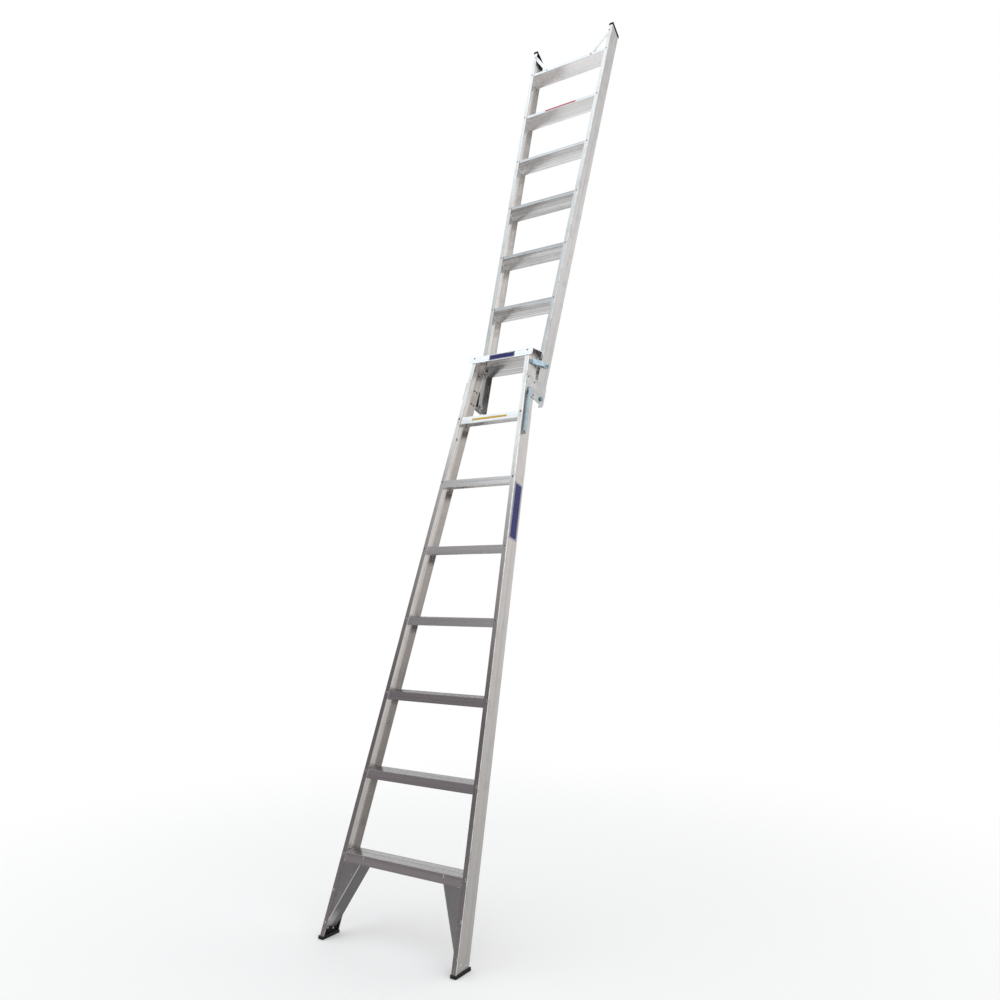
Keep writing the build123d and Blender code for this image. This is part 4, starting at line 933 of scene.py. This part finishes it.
def film(name, tones, rough, axes=None, line=None):
    """Printed film: slightly uneven ink, fine scratches, and an inset line where one is given."""
    finish, tree, shader = new_finish(name)
    run = own_axes(tree, ORIGIN, ALONG_LADDER)
    texture, marks = marked(tree, run, FILM_GRAIN, *FILM_MARKS)
    ink = blend_colour(tree, (texture, "Cloud"), *tones)
    if line is not None:
        band = use_group(tree, inset, {"Vector": own_axes(tree, *axes), **line})
        ink = blend_colour(tree, (band, "Line"), ink, LINE_TONE)
    scratched = reckon(tree, "MULTIPLY", (marks, "Scuffs"), FILM_SCUFFS)
    ink = blend_colour(tree, scratched, ink, SCRATCH_TONE)
    gloss = remap(tree, (marks, "Patches"), (0.0, 1.0), (rough, rough + FILM_DULL))
    plug(tree, shader, {"Base Color": ink, "Roughness": gloss, "Specular IOR Level": FILM_SHINE})
    plug(tree, shader, {"Normal": bumped(tree, (texture, "Height"), *FILM_BUMP)})
    return finish


print("film ready")

# %% Film finishes
def middle_of(node):
    """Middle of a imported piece's box."""
    low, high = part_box(node)
    return [(a + b) / 2 for a, b in zip(low, high)]


NAVY = [(0.017, 0.018, 0.110), (0.026, 0.028, 0.150)]
YELLOW = [(0.52, 0.32, 0.028), (0.60, 0.385, 0.042)]
RED = [(0.42, 0.050, 0.070), (0.50, 0.075, 0.095)]
PANEL_ROUGH, STRIP_ROUGH = 0.34, 0.38

FORWARD, BACKWARD = on_ladder(0, -1, 0), on_ladder(0, 1, 0)
cap_facing = Matrix((on_ladder(1, 0, 0), on_ladder(0, 0, 1), FORWARD)).transposed()
side_up = on_ladder(-math.sin(lower_tilt), 0, math.cos(lower_tilt))
side_out = on_ladder(math.cos(lower_tilt), 0, math.sin(lower_tilt))
side_facing = Matrix((side_up, FORWARD, side_out)).transposed()
cap_axes = middle_of("cap_panel"), angles(cap_facing)
side_axes = middle_of("side_panel"), angles(side_facing)
cap_film = film("cap_panel_film", NAVY, PANEL_ROUGH, cap_axes, CAP_LINE)
side_film = film("side_panel_film", NAVY, PANEL_ROUGH, side_axes, SIDE_LINE)
yellow_film = film("yellow_strip_film", YELLOW, STRIP_ROUGH)
red_film = film("red_strip_film", RED, STRIP_ROUGH)
print("films:", cap_film.name, side_film.name, yellow_film.name, red_film.name)

# %% [markdown]
# ## Pins in the rivet heads
# A blind rivet is pulled up by a steel pin that snaps off inside the head. What is left is a small
# collar on the dome with the pin's broken end in it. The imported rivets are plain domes, so the
# collar and the pin end are added here: one profile turned about an axis, and repeated at every
# rivet with array arithmetic alone.

# %% Pin surfaces
PIN_SIDES = 14
PIN_RADII = np.array([0.0, 0.95, 1.05, 1.30, 2.30, 2.75, 2.90]) / 1000
PIN_HEIGHTS = np.array([2.66, 2.66, 2.52, 2.60, 2.42, 2.10, 1.70]) / 1000


def turned_pins(places, outs):
    """Turned profiles: a ring is the pin's place plus a height along its axis and a radius round it.

    No axis points across the ladder, so its cross product with X starts each ring.
    """
    angle = np.linspace(0.0, 2.0 * np.pi, PIN_SIDES, endpoint=False)
    first = np.cross(outs, [1.0, 0.0, 0.0])
    first = first / np.linalg.norm(first, axis=1, keepdims=True)
    second = np.cross(outs, first)
    spoke = np.cos(angle)[:, None] * first[:, None, :] + np.sin(angle)[:, None] * second[:, None, :]
    rings = (
        places[:, None, None, :]
        + PIN_HEIGHTS[None, 1:, None, None] * outs[:, None, None, :]
        + PIN_RADII[None, 1:, None, None] * spoke[:, None, :, :]
    )
    tips = places + PIN_HEIGHTS[0] * outs
    count, ring_count = len(places), len(PIN_RADII) - 1
    index = np.arange(count * ring_count * PIN_SIDES).reshape(count, ring_count, PIN_SIDES)
    after = np.roll(index, -1, axis=2)
    walls = np.stack([index[:, 1:], after[:, 1:], after[:, :-1], index[:, :-1]], axis=-1).reshape(-1, 4)
    top = count * ring_count * PIN_SIDES + np.arange(count)
    lids = np.stack([index[:, 0], after[:, 0], np.repeat(top[:, None], PIN_SIDES, axis=1)], axis=-1)
    return np.concatenate([rings.reshape(-1, 3), tips]), walls, lids.reshape(-1, 3)


def pin_object(name, places, outs, body, finish):
    """All the pins of one group of rivets as one mesh that rides with its section."""
    made = mesh_object(name, *turned_pins(places, outs))
    made.data.shade_smooth()
    made.data.materials.append(finish)
    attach(made, body)
    return made


print("pin profile:", len(PIN_RADII) - 1, "rings of", PIN_SIDES, "sides")

# %% [markdown]
# ## Where the rivets are
# The rivets follow the edges of the treads and the taper of the stiles, so their places are sums of
# the ladder's measures. Only the right half is worked out, and the left half is its mirror image.

# %% Pin places
RIVET_INSET = 0.0095
LOWER_FRONT_DROP, LOWER_REAR_DROP, UPPER_RISE = 0.006, 0.016, 0.010
UPPER_LEAN = math.radians(16.8)
CAP_FRONT = -0.00325
GUSSET_INSET, GUSSET_HEIGHTS = 0.007, np.array([0.05609, 0.16696])
TAB_HALF, TAB_HEIGHTS = 0.18229, np.array([0.29075])


def lower_half(s):
    """Half width over the lower stiles: a straight taper from the feet to the top cap."""
    return BASE_HALF - LOWER_TAPER * np.asarray(s)


def upper_half(s):
    """Half width over the upper stiles: a straight flare from the hinge to the tips."""
    return HINGE_HALF + UPPER_FLARE * (np.asarray(s) - PIVOT_HEIGHT)


def both_sides(w, d, s, out):
    """The same places and axes on the right and, mirrored, on the left."""
    places = on_ladder(w, d, s)
    outs = np.broadcast_to(np.asarray(out, float), places.shape)
    flip = np.array([-1.0, 1.0, 1.0])
    return np.concatenate([places, places * flip]), np.concatenate([outs, outs * flip])


front_low = lower_edges - LOWER_FRONT_DROP
rear_low = lower_edges + TREAD_DEPTH * math.tan(LEAN) - LOWER_REAR_DROP
front_up = upper_edges + UPPER_RISE
rear_up = upper_edges - TREAD_DEPTH * math.tan(UPPER_LEAN) + UPPER_RISE
cap_low = np.array([CAP_EDGE - LOWER_FRONT_DROP])
lower_sets = [
    both_sides(lower_half(front_low) - RIVET_INSET, 0.0, front_low, FORWARD),
    both_sides(lower_half(GUSSET_HEIGHTS) - GUSSET_INSET, 0.0, GUSSET_HEIGHTS, FORWARD),
    both_sides(TAB_HALF, STILE_WALL, TAB_HEIGHTS, FORWARD),
    both_sides(lower_half(rear_low) - RIVET_INSET, STILE_DEPTH, rear_low, BACKWARD),
]
cap_sets = [both_sides(lower_half(cap_low) - RIVET_INSET, CAP_FRONT, cap_low, FORWARD)]
upper_sets = [
    both_sides(upper_half(front_up) - RIVET_INSET, UPPER_FRONT, front_up, FORWARD),
    both_sides(upper_half(rear_up) - RIVET_INSET, UPPER_FRONT + STILE_DEPTH, rear_up, BACKWARD),
]
print("rivets with pins:", sum(len(places) for places, _ in lower_sets + cap_sets + upper_sets))

# %% Pins
for name, sets, body, finish in (
    ("rivet_pins_lower", lower_sets, "lower_section", steel["pin_steel_shade"]),
    ("rivet_pins_cap", cap_sets, "lower_section", steel["pin_pale"]),
    ("rivet_pins_upper", upper_sets, "upper_section", steel["pin_pale"]),
):
    places, outs = (np.concatenate(rows) for rows in zip(*sets))
    pins = pin_object(name, places, outs, body, finish)
    print(f"{name}: {len(places)} pins, {len(pins.data.polygons)} faces")

# %% [markdown]
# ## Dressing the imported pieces
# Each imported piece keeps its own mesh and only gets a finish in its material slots. The names of
# the pieces say what they are made of, so a short table of name beginnings is enough.

# %% Dress
finish_by_start = [
    ("hinge_plate_rivets", steel["plate_rivet"]),
    ("lower_tread_rivets", steel["tread_rivet"]),
    ("upper_tread_rivets", steel["rivet_pale"]),
    *[(f"{place}_rivets", steel["rivet_grey"]) for place in ("gusset", "foot", "brace", "cap")],
    ("pivot_bolts", steel["bolt_zinc"]),
    ("spreader_arm", steel["arm_zinc"]),
    ("latch_", steel["hook_zinc"]),
    *[(start, steel["plate_zinc"]) for start in ("hinge_plate", "pivot_", "spreader_", "keeper_")],
    ("lower_stud_nuts", steel["plate_zinc"]),
    ("gusset_", gusset_sheet),
    ("tip_brace_", brace_sheet),
    ("foot_", foot_rubber),
    ("stop_buffer_", buffer_rubber),
    ("tip_cap_", tip_plastic),
    ("cap_panel", cap_film),
    ("side_panel", side_film),
    ("tread_strip", yellow_film),
    ("upper_strip", red_film),
]


def finish_for(name):
    """The finish of a piece: its own if it has one, otherwise the first whose beginning fits."""
    if name in profile_finishes:
        return profile_finishes[name]
    return next(finish for start, finish in finish_by_start if name.startswith(start))


for name, piece in nodes.items():
    slots = piece.data.materials
    if len(slots) == 0:
        slots.append(finish_for(name))
    for number in range(len(slots)):
        slots[number] = finish_for(name)
print("dressed:", len(nodes), "pieces")
